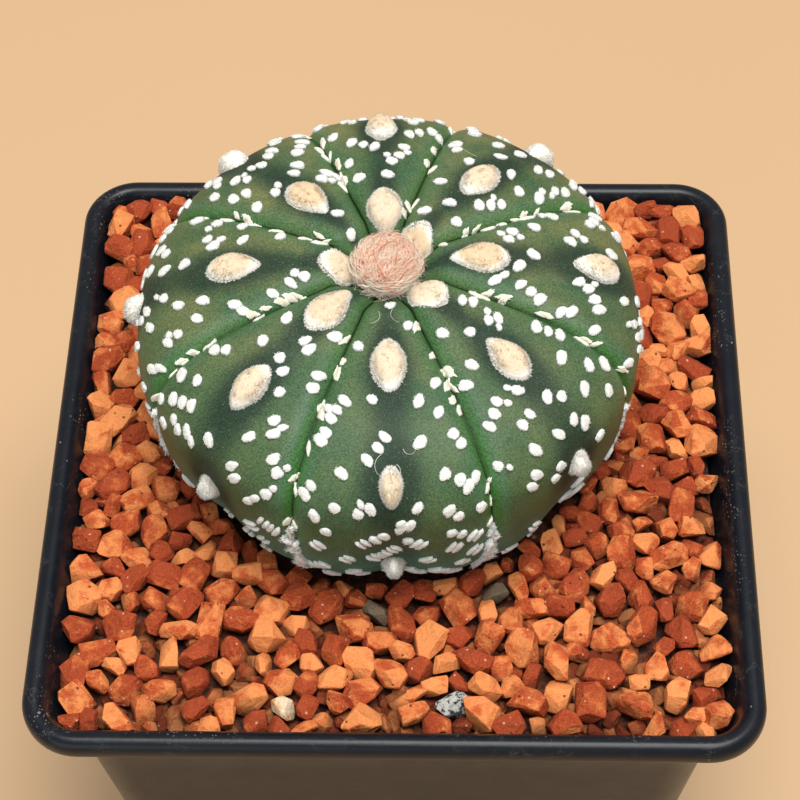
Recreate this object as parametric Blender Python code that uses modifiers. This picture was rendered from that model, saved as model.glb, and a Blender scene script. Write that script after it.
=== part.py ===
"""Potted star cactus: an eight-ribbed star cactus in a square plastic pot dressed with stone chips.

Metres, +Z up. The origin lies under the middle of the pot, on the surface that it stands on.
The front of the pot faces -Y. Azimuths run counterclockwise from +X.
"""
import math

import bmesh
import bpy
import numpy as np
from mathutils import Matrix, Vector

MM = 0.001
TINY = 1e-9
GOLDEN_ANGLE = math.pi * (3.0 - math.sqrt(5.0))

# Fit between neighbouring solids
GAP = 0.3 * MM
STEM_CLEARANCE = 0.45 * MM
HOLE_DROP = 0.2 * MM

# Square pot
POT_HEIGHT = 80.0 * MM
LIP_HALF = 45.0 * MM
LIP_CORNER = 7.2 * MM
# Lip section, from the inside out: inset from the lip's outer face and drop below the rim, in mm
LIP_SECTION = (
    (3.9, 4.2), (3.35, 2.4), (3.0, 1.3), (2.6, 0.55), (2.1, 0.12), (1.6, 0.0), (1.1, 0.0), (0.4, 0.35),
    (0.0, 1.1), (0.0, 2.4), (0.25, 3.0), (1.0, 3.0), (1.1, 1.3), (1.9, 1.25), (2.35, 2.4), (2.9, 4.2),
)
LIP_INNER_POINTS = 2
COLLAR_DROP = 8.0 * MM
WALL_HALF_AT_RIM = 41.3 * MM
WALL_TAPER = 0.105
WALL_THICK = 1.0 * MM
WALL_CORNER = 6.2 * MM
FLOOR_TOP = 3.4 * MM
FLOOR_UNDERSIDE = 2.2 * MM
FLOOR_FILLET = 1.2 * MM
FOOT_WIDTH = 1.6 * MM
FOOT_CHAMFER = 0.5 * MM
CORNER_STEPS = 5
DRAIN_RADIUS = 4.0 * MM
DRAIN_SPREAD = 18.0 * MM
FOOT_NOTCH_WIDTH = 9.0 * MM
FOOT_NOTCH_HEIGHT = 1.5 * MM

# Fill of the pot
MIX_TOP = POT_HEIGHT - COLLAR_DROP
BED_TOP = POT_HEIGHT - 3.6 * MM
BED_RISE = 0.032
BACK_ROOM = 1.0 * MM
STONE_BURIED = 1.2 * MM
GRAVEL_COUNT = 216
GRAVEL_SEED = 11
STONE_LONG = (2.1 * MM, 3.4 * MM)
STONE_WIDE = (0.66, 0.92)
STONE_HIGH = (0.52, 0.74)
STONE_TILT = 0.6
STONE_LIFT = 0.8 * MM
STONE_FACETS = 11
FACET_DEPTH = (0.72, 1.0)
BLOCK_FILL = 1.16
SETTLING_STEPS = 220
SETTLING_PUSH = 0.35
STONE_SHOWS = 0.2
WALL_REACH = 0.95
STEM_REACH = 0.8
CORNER_CUT = 1.8 * MM

# Stem: upper and lower halves are quarter superellipses that meet at the equator
RIBS = 8
STEM_X = -1.2 * MM
STEM_Y = 7.2 * MM
STEM_RADIUS = 31.9 * MM
EQUATOR_Z = POT_HEIGHT + 14.5 * MM
STEM_UP = 12.1 * MM
STEM_DOWN = 29.8 * MM
UPPER_POWER = 2.75
LOWER_POWER = 2.1
CROWN_LEAN = 0.9 * MM
CROWN_PIT = 2.4 * MM
PIT_FLAT = 3.6 * MM
PIT_EDGE = 8.0 * MM
GROUND_Z = POT_HEIGHT - 2.0 * MM

# Ribs: the azimuth of each furrow, and the relief between furrows
FURROWS = np.radians([-65.1, -19.6, 28.6, 73.9, 112.3, 154.7, 205.0, 249.5])
CREASE_DEPTH = 1.7 * MM
CREASE_EASING = 0.8 * MM
CREASE_WIDTH = 3.0 * MM
CREASE_SHARE = 0.6
CREASE_FULL_RADIUS = 9.0 * MM
LOW_DENT = 1.15 * MM
LOW_DENT_SPAN = 0.4
LOW_START = 9.0 * MM
LOW_END = 10.0 * MM

# Root
ROOT_TOP_RADIUS = 5.0 * MM
ROOT_WAIST_RADIUS = 2.4 * MM
ROOT_TIP_RADIUS = 1.0 * MM
ROOT_TIP_Z = 34.0 * MM
ROOT_SINK = 5.0 * MM
ROOT_SHOULDER = 1.5 * MM

# Areoles: woolly pads along each crest; their distances from the crown in mm, rib by rib
AREOLE_ARCS = (
    (6.8, 20.8, 37.5), (12.2, 27.1, 43.0), (5.0, 19.1, 33.5, 49.5), (9.2, 26.0, 42.0),
    (15.4, 32.0, 48.0), (5.4, 19.7, 35.5, 51.5), (10.6, 24.3, 40.5), (16.0, 30.9, 47.5),
)
AREOLE_INNER = 4.5 * MM
# Young by the crown and old by the ground: the ages as distances, then each size at those two ages
AREOLE_AGES = (11.0 * MM, 40.0 * MM)
AREOLE_HALF_LENGTH = (3.7 * MM, 2.6 * MM)
AREOLE_HALF_WIDTH = (2.2 * MM, 1.7 * MM)
AREOLE_HEIGHT = (1.2 * MM, 2.0 * MM)
AREOLE_POINT = (0.42, 0.08)
AREOLE_SINK = 0.7 * MM
AREOLE_TAPER = 0.15

# Flecks: tufts of white felt in short slanting chains
FLECK_SEED = 5
CHAINS_TRIED = 420
CHAIN_LENGTHS = (0.34, 0.30, 0.20, 0.10, 0.06)
CHAIN_STEP = 1.65 * MM
CHAIN_WOBBLE = 0.15 * MM
CHAIN_SLANT = (25.0, 65.0)
CHAIN_SPACING = 2.75 * MM
FLECK_HALF_LENGTH = (0.8 * MM, 1.15 * MM)
FLECK_HALF_WIDTH = (0.62 * MM, 0.82 * MM)
FLECK_HEIGHT = 0.5 * MM
FLECK_SINK = 0.5 * MM
FLECK_TOP = 0.6
FLECK_FOOT = 1.2
FLECK_SIDES = 5
SOLID_CHAINS = (0, 2)
FLECK_FURROW_MARGIN = 1.5 * MM
FLECK_CROWN_MARGIN = 7.0 * MM
FLECK_AREOLE_MARGIN = 1.3 * MM
FLECK_GROUND_MARGIN = 2.5 * MM

# Bud in the crown
BUD_BASE_RADIUS = 3.1 * MM
BUD_RADIUS = 4.1 * MM
BUD_HEIGHT = 3.9 * MM
BUD_TUFTS = 22
BUD_LOWEST_TUFT = 0.25
BUD_TUFT_SIDES = 5
BUD_TUFT_LENGTH = 0.5 * MM
BUD_TUFT_SINK = 1.3 * MM
BUD_TUFT_RADIUS = 0.75 * MM
BUD_TUFT_TIP_RADIUS = 0.22 * MM
BUD_SEED = 3

# Mesh detail
OUTLINE_SAMPLES = 900
PROBE = 0.4 * MM
COLUMN_PLACES = np.array([-1.0, -0.88, -0.5, 0.0, 0.5, 0.88])
CROWN_RINGS = 2
SKIN_RINGS = 16
BURIED_RINGS = 4
GROUND_OVERRUN = 2.0 * MM
HOLE_RINGS = 14
TURN_STEPS = 32


def smoothstep(low, high, x):
    """0 below low, 1 above high, and a smooth rise between them."""
    t = np.clip((x - low) / (high - low), 0.0, 1.0)
    return t * t * (3.0 - 2.0 * t)


def stem_outline():
    """Arc length, radius and height down the stem's outline, from the crown to the bottom pole."""
    upper = 0.5 * math.pi * np.linspace(0.0, 1.0, OUTLINE_SAMPLES) ** 2
    lower = 0.5 * math.pi * np.linspace(0.0, 1.0, OUTLINE_SAMPLES)[1:]
    radius = STEM_RADIUS * np.r_[
        np.sin(upper) ** (2.0 / UPPER_POWER),
        np.clip(np.cos(lower), 0.0, 1.0) ** (2.0 / LOWER_POWER),
    ]
    height = EQUATOR_Z + np.r_[
        STEM_UP * np.clip(np.cos(upper), 0.0, 1.0) ** (2.0 / UPPER_POWER),
        -STEM_DOWN * np.sin(lower) ** (2.0 / LOWER_POWER),
    ]
    dimple = CROWN_PIT * (1.0 - smoothstep(PIT_FLAT, PIT_EDGE, radius))
    height = np.where(height > EQUATOR_Z, height - dimple, height)
    arc = np.r_[0.0, np.cumsum(np.hypot(np.diff(radius), np.diff(height)))]
    even = np.linspace(0.0, arc[-1], OUTLINE_SAMPLES)
    return even, np.interp(even, arc, radius), np.interp(even, arc, height)


ARC, ARC_RADIUS, ARC_HEIGHT = stem_outline()
GROUND_ARC = ARC[np.nonzero(ARC_HEIGHT > GROUND_Z)[0][-1]]
FURROW_ENDS = np.r_[FURROWS, FURROWS[0] + 2.0 * math.pi]
CREST = 0.5 * (FURROW_ENDS[:-1] + FURROW_ENDS[1:])
CROWN_TOP = ARC_HEIGHT[0]


def rib_place(azimuth):
    """Place across its rib, -1 and 1 in the furrows and 0 on the crest, and half the rib's angle."""
    turned = np.mod(azimuth - FURROWS[0], 2.0 * math.pi) + FURROWS[0]
    rib = np.clip(np.searchsorted(FURROW_ENDS, turned, side="right") - 1, 0, RIBS - 1)
    half = 0.5 * (FURROW_ENDS[rib + 1] - FURROW_ENDS[rib])
    return (turned - FURROW_ENDS[rib]) / half - 1.0, half


def skin(azimuth, arc):
    """Points on the skin: the outline pushed inward at the furrows, and at the crests low down."""
    azimuth, arc = np.broadcast_arrays(np.asarray(azimuth, float), np.asarray(arc, float))
    radius = np.interp(arc, ARC, ARC_RADIUS)
    height = np.interp(arc, ARC, ARC_HEIGHT)
    step = PROBE
    slope_r = np.interp(arc + step, ARC, ARC_RADIUS) - np.interp(arc - step, ARC, ARC_RADIUS)
    slope_z = np.interp(arc + step, ARC, ARC_HEIGHT) - np.interp(arc - step, ARC, ARC_HEIGHT)
    slope = np.hypot(slope_r, slope_z)
    place, half = rib_place(azimuth)
    width = half * radius
    reach = np.minimum(CREASE_WIDTH, CREASE_SHARE * width)
    nearness = np.clip((1.0 - np.abs(place)) * width / np.maximum(reach, TINY), 0.0, 1.0)
    crease = 1.0 - np.sqrt(np.clip(1.0 - (1.0 - nearness) ** 2, 0.0, 1.0))
    low = 1.0 - smoothstep(EQUATOR_Z - LOW_END, EQUATOR_Z + LOW_START, height)
    depth = (CREASE_DEPTH - CREASE_EASING * low) * np.clip(radius / CREASE_FULL_RADIUS, 0.0, 1.0)
    inward = depth * crease + LOW_DENT * low * np.exp(-((place / LOW_DENT_SPAN) ** 2))
    inward = inward * np.clip(radius / PIT_FLAT, 0.0, 1.0)
    radius_in = radius + inward * slope_z / slope
    height_in = height - inward * slope_r / slope
    lean = CROWN_LEAN * (1.0 - (radius / STEM_RADIUS) ** 2) * (height > EQUATOR_Z)
    return np.stack(
        [
            STEM_X + radius_in * np.cos(azimuth),
            STEM_Y + lean + radius_in * np.sin(azimuth),
            height_in,
        ],
        axis=-1,
    )


def skin_frame(azimuth, arc):
    """Matrix that stands on the skin: X across the rib, Y down along it, Z out of the skin."""
    centre = Vector(skin(azimuth, arc))
    step = PROBE
    turn = step / float(np.interp(arc, ARC, ARC_RADIUS))
    across = Vector(skin(azimuth + turn, arc) - skin(azimuth - turn, arc)).normalized()
    down = Vector(skin(azimuth, arc + step) - skin(azimuth, arc - step)).normalized()
    out = down.cross(across).normalized()
    down = across.cross(out)
    columns = Matrix((-across, down, out)).transposed()
    return Matrix.Translation(centre) @ columns.to_4x4()


def material(name, colour, roughness, metallic=0.0):
    """Principled material with one colour."""
    made = bpy.data.materials.new(name)
    made.use_nodes = True
    shader = made.node_tree.nodes["Principled BSDF"]
    shader.inputs["Base Color"].default_value = (*colour, 1.0)
    shader.inputs["Roughness"].default_value = roughness
    shader.inputs["Metallic"].default_value = metallic
    return made


def finish(made, shade, smooth_under):
    """Gives an object its material, smooth wherever its faces meet under an angle in degrees."""
    made.data.materials.append(shade)
    made.data.shade_smooth()
    made.data.set_sharp_from_angle(angle=math.radians(smooth_under))
    return made


def place_object(name, mesh, collection):
    """Object of a mesh in a collection."""
    made = bpy.data.objects.new(name, mesh)
    collection.objects.link(made)
    return made


def mesh_of(bm, name):
    """Mesh of a bmesh, with its faces pointing out."""
    bmesh.ops.recalc_face_normals(bm, faces=bm.faces)
    mesh = bpy.data.meshes.new(name)
    bm.to_mesh(mesh)
    bm.free()
    return mesh


def as_cutter(made):
    """Marks an object as a guide that only cuts or joins others."""
    made.hide_render = True
    made.display_type = "WIRE"
    return made


def bake(made):
    """Applies an object's modifiers."""
    graph = bpy.context.evaluated_depsgraph_get()
    baked = bpy.data.meshes.new_from_object(made.evaluated_get(graph))
    made.modifiers.clear()
    made.data = baked
    return made


def boolean(made, operation, other):
    """Boolean of an object with another, or with every object of a collection, applied."""
    modifier = made.modifiers.new(operation.title(), "BOOLEAN")
    modifier.operation = operation
    modifier.solver = "EXACT"
    if isinstance(other, bpy.types.Collection):
        modifier.operand_type = "COLLECTION"
        modifier.collection = other
    else:
        modifier.object = other
    return bake(made)


def fuse_all(made, pieces):
    """Joins a collection's objects to one object, and removes them."""
    boolean(made, "UNION", pieces)
    for piece in list(pieces.objects):
        bpy.data.objects.remove(piece)
    bpy.data.collections.remove(pieces)
    return made


def drop_scraps(made):
    """Keeps an object's largest body and deletes the crumbs that a cut left loose."""
    bm = bmesh.new()
    bm.from_mesh(made.data)
    left = set(bm.verts)
    bodies = []
    while left:
        front = [left.pop()]
        body = []
        while front:
            vertex = front.pop()
            body.append(vertex)
            near = {edge.other_vert(vertex) for edge in vertex.link_edges} & left
            left -= near
            front.extend(near)
        bodies.append(body)
    bodies.sort(key=len)
    for body in bodies[:-1]:
        bmesh.ops.delete(bm, geom=body, context="VERTS")
    bm.to_mesh(made.data)
    bm.free()
    return made


def turned(name, profile, collection):
    """Turned solid from (radius, height) points that run down its outer side."""
    mesh = bpy.data.meshes.new(name)
    points = [(radius, 0.0, height) for radius, height in profile]
    edges = [(i, i + 1) for i in range(len(points) - 1)]
    mesh.from_pydata(points, edges, [])
    made = place_object(name, mesh, collection)
    screw = made.modifiers.new("Turn", "SCREW")
    screw.steps = TURN_STEPS
    screw.render_steps = TURN_STEPS
    screw.use_merge_vertices = True
    screw.merge_threshold = 0.01 * MM
    return made


def square_ring(half, corner, height):
    """Points of a square with round corners, counterclockwise at one height."""
    points = []
    for quarter in range(4):
        middle = 0.5 * math.pi * quarter + 0.25 * math.pi
        centre = math.sqrt(2.0) * (half - corner)
        for step in range(CORNER_STEPS + 1):
            angle = 0.5 * math.pi * (quarter + step / CORNER_STEPS)
            x = centre * math.cos(middle) + corner * math.cos(angle)
            y = centre * math.sin(middle) + corner * math.sin(angle)
            points.append((x, y, height))
    return points


def loft(name, rings, collection, rise=0.0):
    """Closed solid through rings of equal point counts, with caps; the last one can slope up to the back."""
    bm = bmesh.new()
    loops = [[bm.verts.new(point) for point in square_ring(*ring)] for ring in rings]
    count = len(loops[0])
    for vertex in loops[-1]:
        vertex.co.z += rise * vertex.co.y
    for lower, upper in zip(loops, loops[1:]):
        for i in range(count):
            j = (i + 1) % count
            bm.faces.new((lower[i], lower[j], upper[j], upper[i]))
    bm.faces.new(loops[0])
    bm.faces.new(loops[-1])
    return place_object(name, mesh_of(bm, name), collection)


def wall_half(height, inset=0.0):
    """Half width of the outer wall at a height, less an inset."""
    return WALL_HALF_AT_RIM - WALL_TAPER * (POT_HEIGHT - height) - inset


def wall_ring(height, inset):
    """Half width, corner radius and height of a ring inside the outer wall."""
    return wall_half(height, inset), WALL_CORNER - inset, height


def lip_ring(inset, drop):
    """Half width, corner radius and height of a ring of the lip, a drop below the rim."""
    return LIP_HALF - inset, LIP_CORNER - inset, POT_HEIGHT - drop


def inner_ring(height, inset):
    """Half width, corner radius and height of a ring inside the flared collar's inner face."""
    upper = [lip_ring(inset * MM, drop * MM) for inset, drop in LIP_SECTION[:LIP_INNER_POINTS]]
    rings = np.array([wall_ring(POT_HEIGHT - COLLAR_DROP, WALL_THICK), *upper])
    half = np.interp(height, rings[:, 2], rings[:, 0])
    corner = np.interp(height, rings[:, 2], rings[:, 1])
    return half - inset, corner - inset, height


def pot(collection, guides):
    """Thin tapered wall, collar and rolled lip, with a raised floor, foot rim, notches and drain holes."""
    rings = [
        wall_ring(FLOOR_TOP, WALL_THICK + FLOOR_FILLET),
        wall_ring(FLOOR_TOP + FLOOR_FILLET, WALL_THICK),
        wall_ring(POT_HEIGHT - COLLAR_DROP, WALL_THICK),
        *[lip_ring(inset * MM, drop * MM) for inset, drop in LIP_SECTION],
        wall_ring(POT_HEIGHT - COLLAR_DROP, 0.0),
        wall_ring(FOOT_CHAMFER, 0.0),
        wall_ring(0.0, FOOT_CHAMFER),
        wall_ring(0.0, FOOT_WIDTH),
        wall_ring(FLOOR_UNDERSIDE, FOOT_WIDTH + GAP),
    ]
    made = loft("pot", rings, collection)
    holes = bpy.data.collections.new("pot openings")
    guides.children.link(holes)
    spots = [(0.0, 0.0)]
    spots += [(x * DRAIN_SPREAD, y * DRAIN_SPREAD) for x in (-1, 1) for y in (-1, 1)]
    for x, y in spots:
        bm = bmesh.new()
        bmesh.ops.create_cone(
            bm,
            segments=16,
            cap_ends=True,
            radius1=DRAIN_RADIUS,
            radius2=DRAIN_RADIUS,
            depth=4.0 * FLOOR_TOP,
            matrix=Matrix.Translation((x, y, FLOOR_TOP)),
        )
        as_cutter(place_object("drain hole", mesh_of(bm, "drain hole"), holes))
    for along_x in (True, False):
        bm = bmesh.new()
        long = 3.0 * LIP_HALF
        size = (long, FOOT_NOTCH_WIDTH) if along_x else (FOOT_NOTCH_WIDTH, long)
        scale = Matrix.Diagonal((size[0], size[1], 2.0 * FOOT_NOTCH_HEIGHT, 1.0))
        bmesh.ops.create_cube(bm, size=1.0, matrix=scale)
        as_cutter(place_object("foot notch", mesh_of(bm, "foot notch"), holes))
    for cutter in list(holes.objects):
        boolean(made, "DIFFERENCE", cutter)
        bpy.data.objects.remove(cutter)
    bpy.data.collections.remove(holes)
    return finish(made, material("black plastic", (0.012, 0.013, 0.017), 0.38), 35.0)


def stem_hole(guides):
    """Cutter in the shape of the buried stem and root with their clearance, open to the sky."""
    sky = EQUATOR_Z + STEM_UP
    below = ARC[(ARC_HEIGHT < EQUATOR_Z) & (ARC_RADIUS > ROOT_TOP_RADIUS)]
    arcs = np.linspace(below[0], below[-1], HOLE_RINGS)
    radius = np.interp(arcs, ARC, ARC_RADIUS) + STEM_CLEARANCE
    height = np.interp(arcs, ARC, ARC_HEIGHT) - HOLE_DROP
    tip = ROOT_TIP_Z - STEM_CLEARANCE
    profile = [(0.0, sky), (radius[0], sky), *zip(radius, height)]
    profile += [
        (radius[-1], height[-1] - ROOT_SHOULDER),
        (ROOT_TIP_RADIUS + STEM_CLEARANCE, tip),
        (0.0, tip),
    ]
    made = turned("stem hole", profile, guides)
    made.location = (STEM_X, STEM_Y, 0.0)
    return as_cutter(made)


def potting_mix(collection, hole):
    """Block of growing mix inside the wall, from the floor to under the gravel."""
    inset = WALL_THICK + GAP
    bottom = FLOOR_TOP + GAP
    rings = [
        wall_ring(bottom, inset + FLOOR_FILLET),
        wall_ring(bottom + FLOOR_FILLET, inset),
        wall_ring(MIX_TOP, inset),
    ]
    made = loft("potting_mix", rings, collection)
    boolean(made, "DIFFERENCE", hole)
    return finish(made, material("growing mix", (0.035, 0.022, 0.014), 0.95), 35.0)


def stone_layout():
    """Seeded stones: centres, half sizes and turns, after pushing overlapping neighbours apart."""
    draw = np.random.default_rng(GRAVEL_SEED)
    long = draw.uniform(*STONE_LONG, GRAVEL_COUNT)
    sizes = np.stack(
        [
            long,
            long * draw.uniform(*STONE_WIDE, GRAVEL_COUNT),
            long * draw.uniform(*STONE_HIGH, GRAVEL_COUNT),
        ],
        axis=1,
    )
    turn = draw.uniform(0.0, 2.0 * math.pi, GRAVEL_COUNT)
    tilt = draw.uniform(-STONE_TILT, STONE_TILT, (GRAVEL_COUNT, 2))
    lift = draw.uniform(0.0, STONE_LIFT, GRAVEL_COUNT)
    room = inner_ring(BED_TOP - BED_RISE * LIP_HALF - STONE_BURIED, GAP)[0]
    spot = draw.uniform(-room, room, (GRAVEL_COUNT, 2))
    reach = 0.5 * (sizes[:, 0] + sizes[:, 1])
    stem = np.array([STEM_X, STEM_Y])
    stem_room = np.interp(GROUND_ARC, ARC, ARC_RADIUS) + GAP
    middle = np.array([0.0, 0.5 * BACK_ROOM])
    edge = (room - WALL_REACH * sizes[:, 0])[:, None] + middle
    corner = edge - CORNER_CUT
    for _ in range(SETTLING_STEPS):
        apart = spot[:, None] - spot[None]
        distance = np.hypot(apart[..., 0], apart[..., 1]) + np.eye(GRAVEL_COUNT)
        overlap = np.clip(reach[:, None] + reach[None] - distance, 0.0, None)
        np.fill_diagonal(overlap, 0.0)
        push = apart / distance[..., None] * overlap[..., None]
        spot = spot + SETTLING_PUSH * push.sum(axis=1)
        from_stem = spot - stem
        away = np.hypot(from_stem[:, 0], from_stem[:, 1])[:, None]
        need = (stem_room + STEM_REACH * reach)[:, None]
        spot = np.where(away < need, stem + from_stem / away * need, spot)
        inside = np.clip(spot - middle, -edge, edge)
        past = np.clip(np.abs(inside) - corner, 0.0, None)
        beyond = np.hypot(past[:, 0], past[:, 1])[:, None]
        pull = np.where(beyond > CORNER_CUT, CORNER_CUT / np.maximum(beyond, TINY), 1.0)
        spot = middle + np.where(past > 0.0, np.sign(inside) * (corner + past * pull), inside)
    height = BED_TOP + BED_RISE * spot[:, 1] + STONE_SHOWS * sizes[:, 2] + lift
    return np.column_stack([spot, height]), sizes, turn, tilt


def stone_radius(direction, draw):
    """Radius of a chipped stone towards each direction: the nearest of a few flat facets."""
    facets = draw.normal(size=(STONE_FACETS, 3))
    facets /= np.linalg.norm(facets, axis=1, keepdims=True)
    distance = draw.uniform(*FACET_DEPTH, STONE_FACETS)
    facing = np.maximum(direction @ facets.T, TINY)
    return np.minimum((distance / facing).min(axis=1), 1.0)


def gravel(collection, guides, hole):
    """Sloping bed with stone chips standing out of it, in one body, with the hole for the stem."""
    half, corner, _ = inner_ring(BED_TOP - BED_RISE * LIP_HALF, GAP)
    made = loft("gravel", [inner_ring(MIX_TOP + GAP, GAP), (half, corner, BED_TOP)], collection, BED_RISE)
    pieces = bpy.data.collections.new("stones")
    guides.children.link(pieces)
    centres, sizes, turns, tilts = stone_layout()
    for i, centre in enumerate(centres):
        bm = bmesh.new()
        bmesh.ops.create_cube(bm, size=2.0)
        directions = np.array([vertex.co.normalized()[:] for vertex in bm.verts])
        radii = stone_radius(directions, np.random.default_rng([GRAVEL_SEED, i]))
        for vertex, direction, radius in zip(bm.verts, directions, radii):
            vertex.co = direction * radius * BLOCK_FILL
        turn = Matrix.Rotation(turns[i], 4, "Z")
        tilt = Matrix.Rotation(tilts[i, 0], 4, "X") @ Matrix.Rotation(tilts[i, 1], 4, "Y")
        scale = Matrix.Diagonal((*sizes[i], 1.0))
        bmesh.ops.transform(bm, matrix=Matrix.Translation(centre) @ turn @ tilt @ scale, verts=bm.verts)
        place_object("stone", mesh_of(bm, "stone"), pieces)
    fuse_all(made, pieces)
    boolean(made, "DIFFERENCE", hole)
    drop_scraps(made)
    return finish(made, material("red stone", (0.45, 0.13, 0.045), 0.85), 20.0)


def areole_sites():
    """Azimuth, arc, half length, half width, height and point of every areole, crest by crest."""
    sites = []
    for rib, arcs in enumerate(AREOLE_ARCS):
        for arc in np.array(arcs) * MM:
            length, width, height, point = (
                np.interp(arc, AREOLE_AGES, ends)
                for ends in (AREOLE_HALF_LENGTH, AREOLE_HALF_WIDTH, AREOLE_HEIGHT, AREOLE_POINT)
            )
            inner = max(arc - length, AREOLE_INNER)
            outer = arc + length
            sites.append((CREST[rib], 0.5 * (inner + outer), 0.5 * (outer - inner), width, height, point))
    return sites


def fleck_sites():
    """Seeded flecks: azimuth, arc, turn, half length, half width, chain number, place in the chain."""
    draw = np.random.default_rng(FLECK_SEED)
    areoles = np.array(areole_sites())
    sites = []
    chain = 0
    for rib in range(RIBS):
        half = 0.5 * (FURROW_ENDS[rib + 1] - FURROW_ENDS[rib])
        own = areoles[np.isclose(areoles[:, 0], CREST[rib])]
        taken = np.zeros((0, 2))
        for _ in range(CHAINS_TRIED):
            arc = draw.uniform(FLECK_CROWN_MARGIN, GROUND_ARC)
            across = draw.uniform(-1.0, 1.0) * half * STEM_RADIUS
            count = draw.choice(len(CHAIN_LENGTHS), p=CHAIN_LENGTHS) + 1
            slant = math.radians(draw.uniform(*CHAIN_SLANT))
            lengths = draw.uniform(*FLECK_HALF_LENGTH, count)
            widths = draw.uniform(*FLECK_HALF_WIDTH, count)
            wobble = draw.normal(0.0, CHAIN_WOBBLE, (count, 2))
            side = 1.0 if across > 0.0 else -1.0
            heading = np.array([side * math.cos(slant), math.sin(slant)])
            placed = []
            for k in range(count):
                spot = np.array([across, arc]) + heading * CHAIN_STEP * k + wobble[k]
                radius = np.interp(spot[1], ARC, ARC_RADIUS)
                if abs(spot[0]) > half * radius - FLECK_FURROW_MARGIN:
                    break
                if spot[1] > GROUND_ARC - FLECK_GROUND_MARGIN or spot[1] < FLECK_CROWN_MARGIN:
                    break
                pad = (spot[0] / (own[:, 3] + FLECK_AREOLE_MARGIN)) ** 2
                pad = pad + ((spot[1] - own[:, 1]) / (own[:, 2] + FLECK_AREOLE_MARGIN)) ** 2
                if pad.min() < 1.0:
                    break
                if len(taken) and np.hypot(*(taken - spot).T).min() < CHAIN_SPACING:
                    break
                placed.append(spot)
                turn = -side * slant
                azimuth = CREST[rib] + spot[0] / radius
                sites.append((azimuth, spot[1], turn, lengths[k], widths[k], chain, k))
            if placed:
                taken = np.vstack([taken, placed])
                chain += 1
    return sites


def stem(collection):
    """Ribbed stem: a sphere's grid laid on the skin, with columns drawn in beside the furrows."""
    crown = np.linspace(0.0, PIT_FLAT, CROWN_RINGS + 1)[1:]
    open_air = np.linspace(PIT_FLAT, GROUND_ARC + GROUND_OVERRUN, SKIN_RINGS + 1)[1:]
    buried = np.linspace(open_air[-1], ARC[-1], BURIED_RINGS + 2)[1:-1]
    ring_arcs = np.r_[0.0, crown, open_air, buried, ARC[-1]]
    columns = RIBS * len(COLUMN_PLACES)
    bm = bmesh.new()
    bmesh.ops.create_uvsphere(bm, u_segments=columns, v_segments=len(ring_arcs) - 1, radius=1.0)
    grid = np.array([vertex.co[:] for vertex in bm.verts])
    ring = np.rint(np.arccos(np.clip(grid[:, 2], -1.0, 1.0)) / math.pi * (len(ring_arcs) - 1))
    column = np.rint(np.arctan2(grid[:, 1], grid[:, 0]) / (2.0 * math.pi) * columns).astype(int) % columns
    rib = column // len(COLUMN_PLACES)
    place = COLUMN_PLACES[column % len(COLUMN_PLACES)]
    azimuth = FURROW_ENDS[rib] + 0.5 * (place + 1.0) * (FURROW_ENDS[rib + 1] - FURROW_ENDS[rib])
    points = skin(azimuth, ring_arcs[ring.astype(int)])
    for vertex, point in zip(bm.verts, points):
        vertex.co = point
    return place_object("cactus", mesh_of(bm, "cactus"), collection)


def root(collection):
    """Tapering root that starts inside the stem's bottom."""
    top = ARC_HEIGHT[-1] + ROOT_SINK
    profile = [
        (0.0, top),
        (ROOT_TOP_RADIUS, top),
        (ROOT_TOP_RADIUS, ARC_HEIGHT[-1]),
        (ROOT_WAIST_RADIUS, 0.5 * (ARC_HEIGHT[-1] + ROOT_TIP_Z)),
        (ROOT_TIP_RADIUS, ROOT_TIP_Z),
        (0.0, ROOT_TIP_Z),
    ]
    made = turned("root", profile, collection)
    made.location = (STEM_X, STEM_Y, 0.0)
    return made


def areole(site, collection):
    """Woolly pad: a dome sunk into the crest, broader below, and drawn to a point at both ends."""
    azimuth, arc, half_length, half_width, height, point = site
    bm = bmesh.new()
    bmesh.ops.create_uvsphere(bm, u_segments=10, v_segments=5, radius=1.0)
    for vertex in bm.verts:
        vertex.co.x *= (1.0 + AREOLE_TAPER * vertex.co.y) * (1.0 - point * vertex.co.y ** 2)
    scale = Matrix.Diagonal((half_width, half_length, height + AREOLE_SINK, 1.0))
    sink = Matrix.Translation((0.0, 0.0, -AREOLE_SINK))
    bmesh.ops.transform(bm, matrix=skin_frame(azimuth, arc) @ sink @ scale, verts=bm.verts)
    place_object("areole", mesh_of(bm, "areole"), collection)


def fleck(site, collection):
    """Felt tuft: a low flat-topped mound with few sides."""
    azimuth, arc, turn, half_length, half_width, _, _ = site
    bm = bmesh.new()
    depth = FLECK_HEIGHT + FLECK_SINK
    bmesh.ops.create_cone(
        bm,
        segments=FLECK_SIDES,
        cap_ends=True,
        radius1=FLECK_FOOT,
        radius2=FLECK_TOP,
        depth=1.0,
    )
    scale = Matrix.Diagonal((half_width, half_length, depth, 1.0))
    lift = Matrix.Translation((0.0, 0.0, FLECK_HEIGHT - 0.5 * depth))
    spin = Matrix.Rotation(turn, 4, "Z")
    bmesh.ops.transform(bm, matrix=skin_frame(azimuth, arc) @ lift @ spin @ scale, verts=bm.verts)
    place_object("fleck", mesh_of(bm, "fleck"), collection)


def cactus(collection, guides):
    """Stem, root, areoles and the first fleck of two chains in five, grown as one piece."""
    made = stem(collection)
    pieces = bpy.data.collections.new("growths")
    guides.children.link(pieces)
    root(pieces)
    for site in areole_sites():
        areole(site, pieces)
    for site in fleck_sites():
        if site[-1] == 0 and site[-2] % 5 in SOLID_CHAINS:
            fleck(site, pieces)
    fuse_all(made, pieces)
    return finish(made, material("green skin", (0.05, 0.115, 0.045), 0.5), 40.0)


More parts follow.
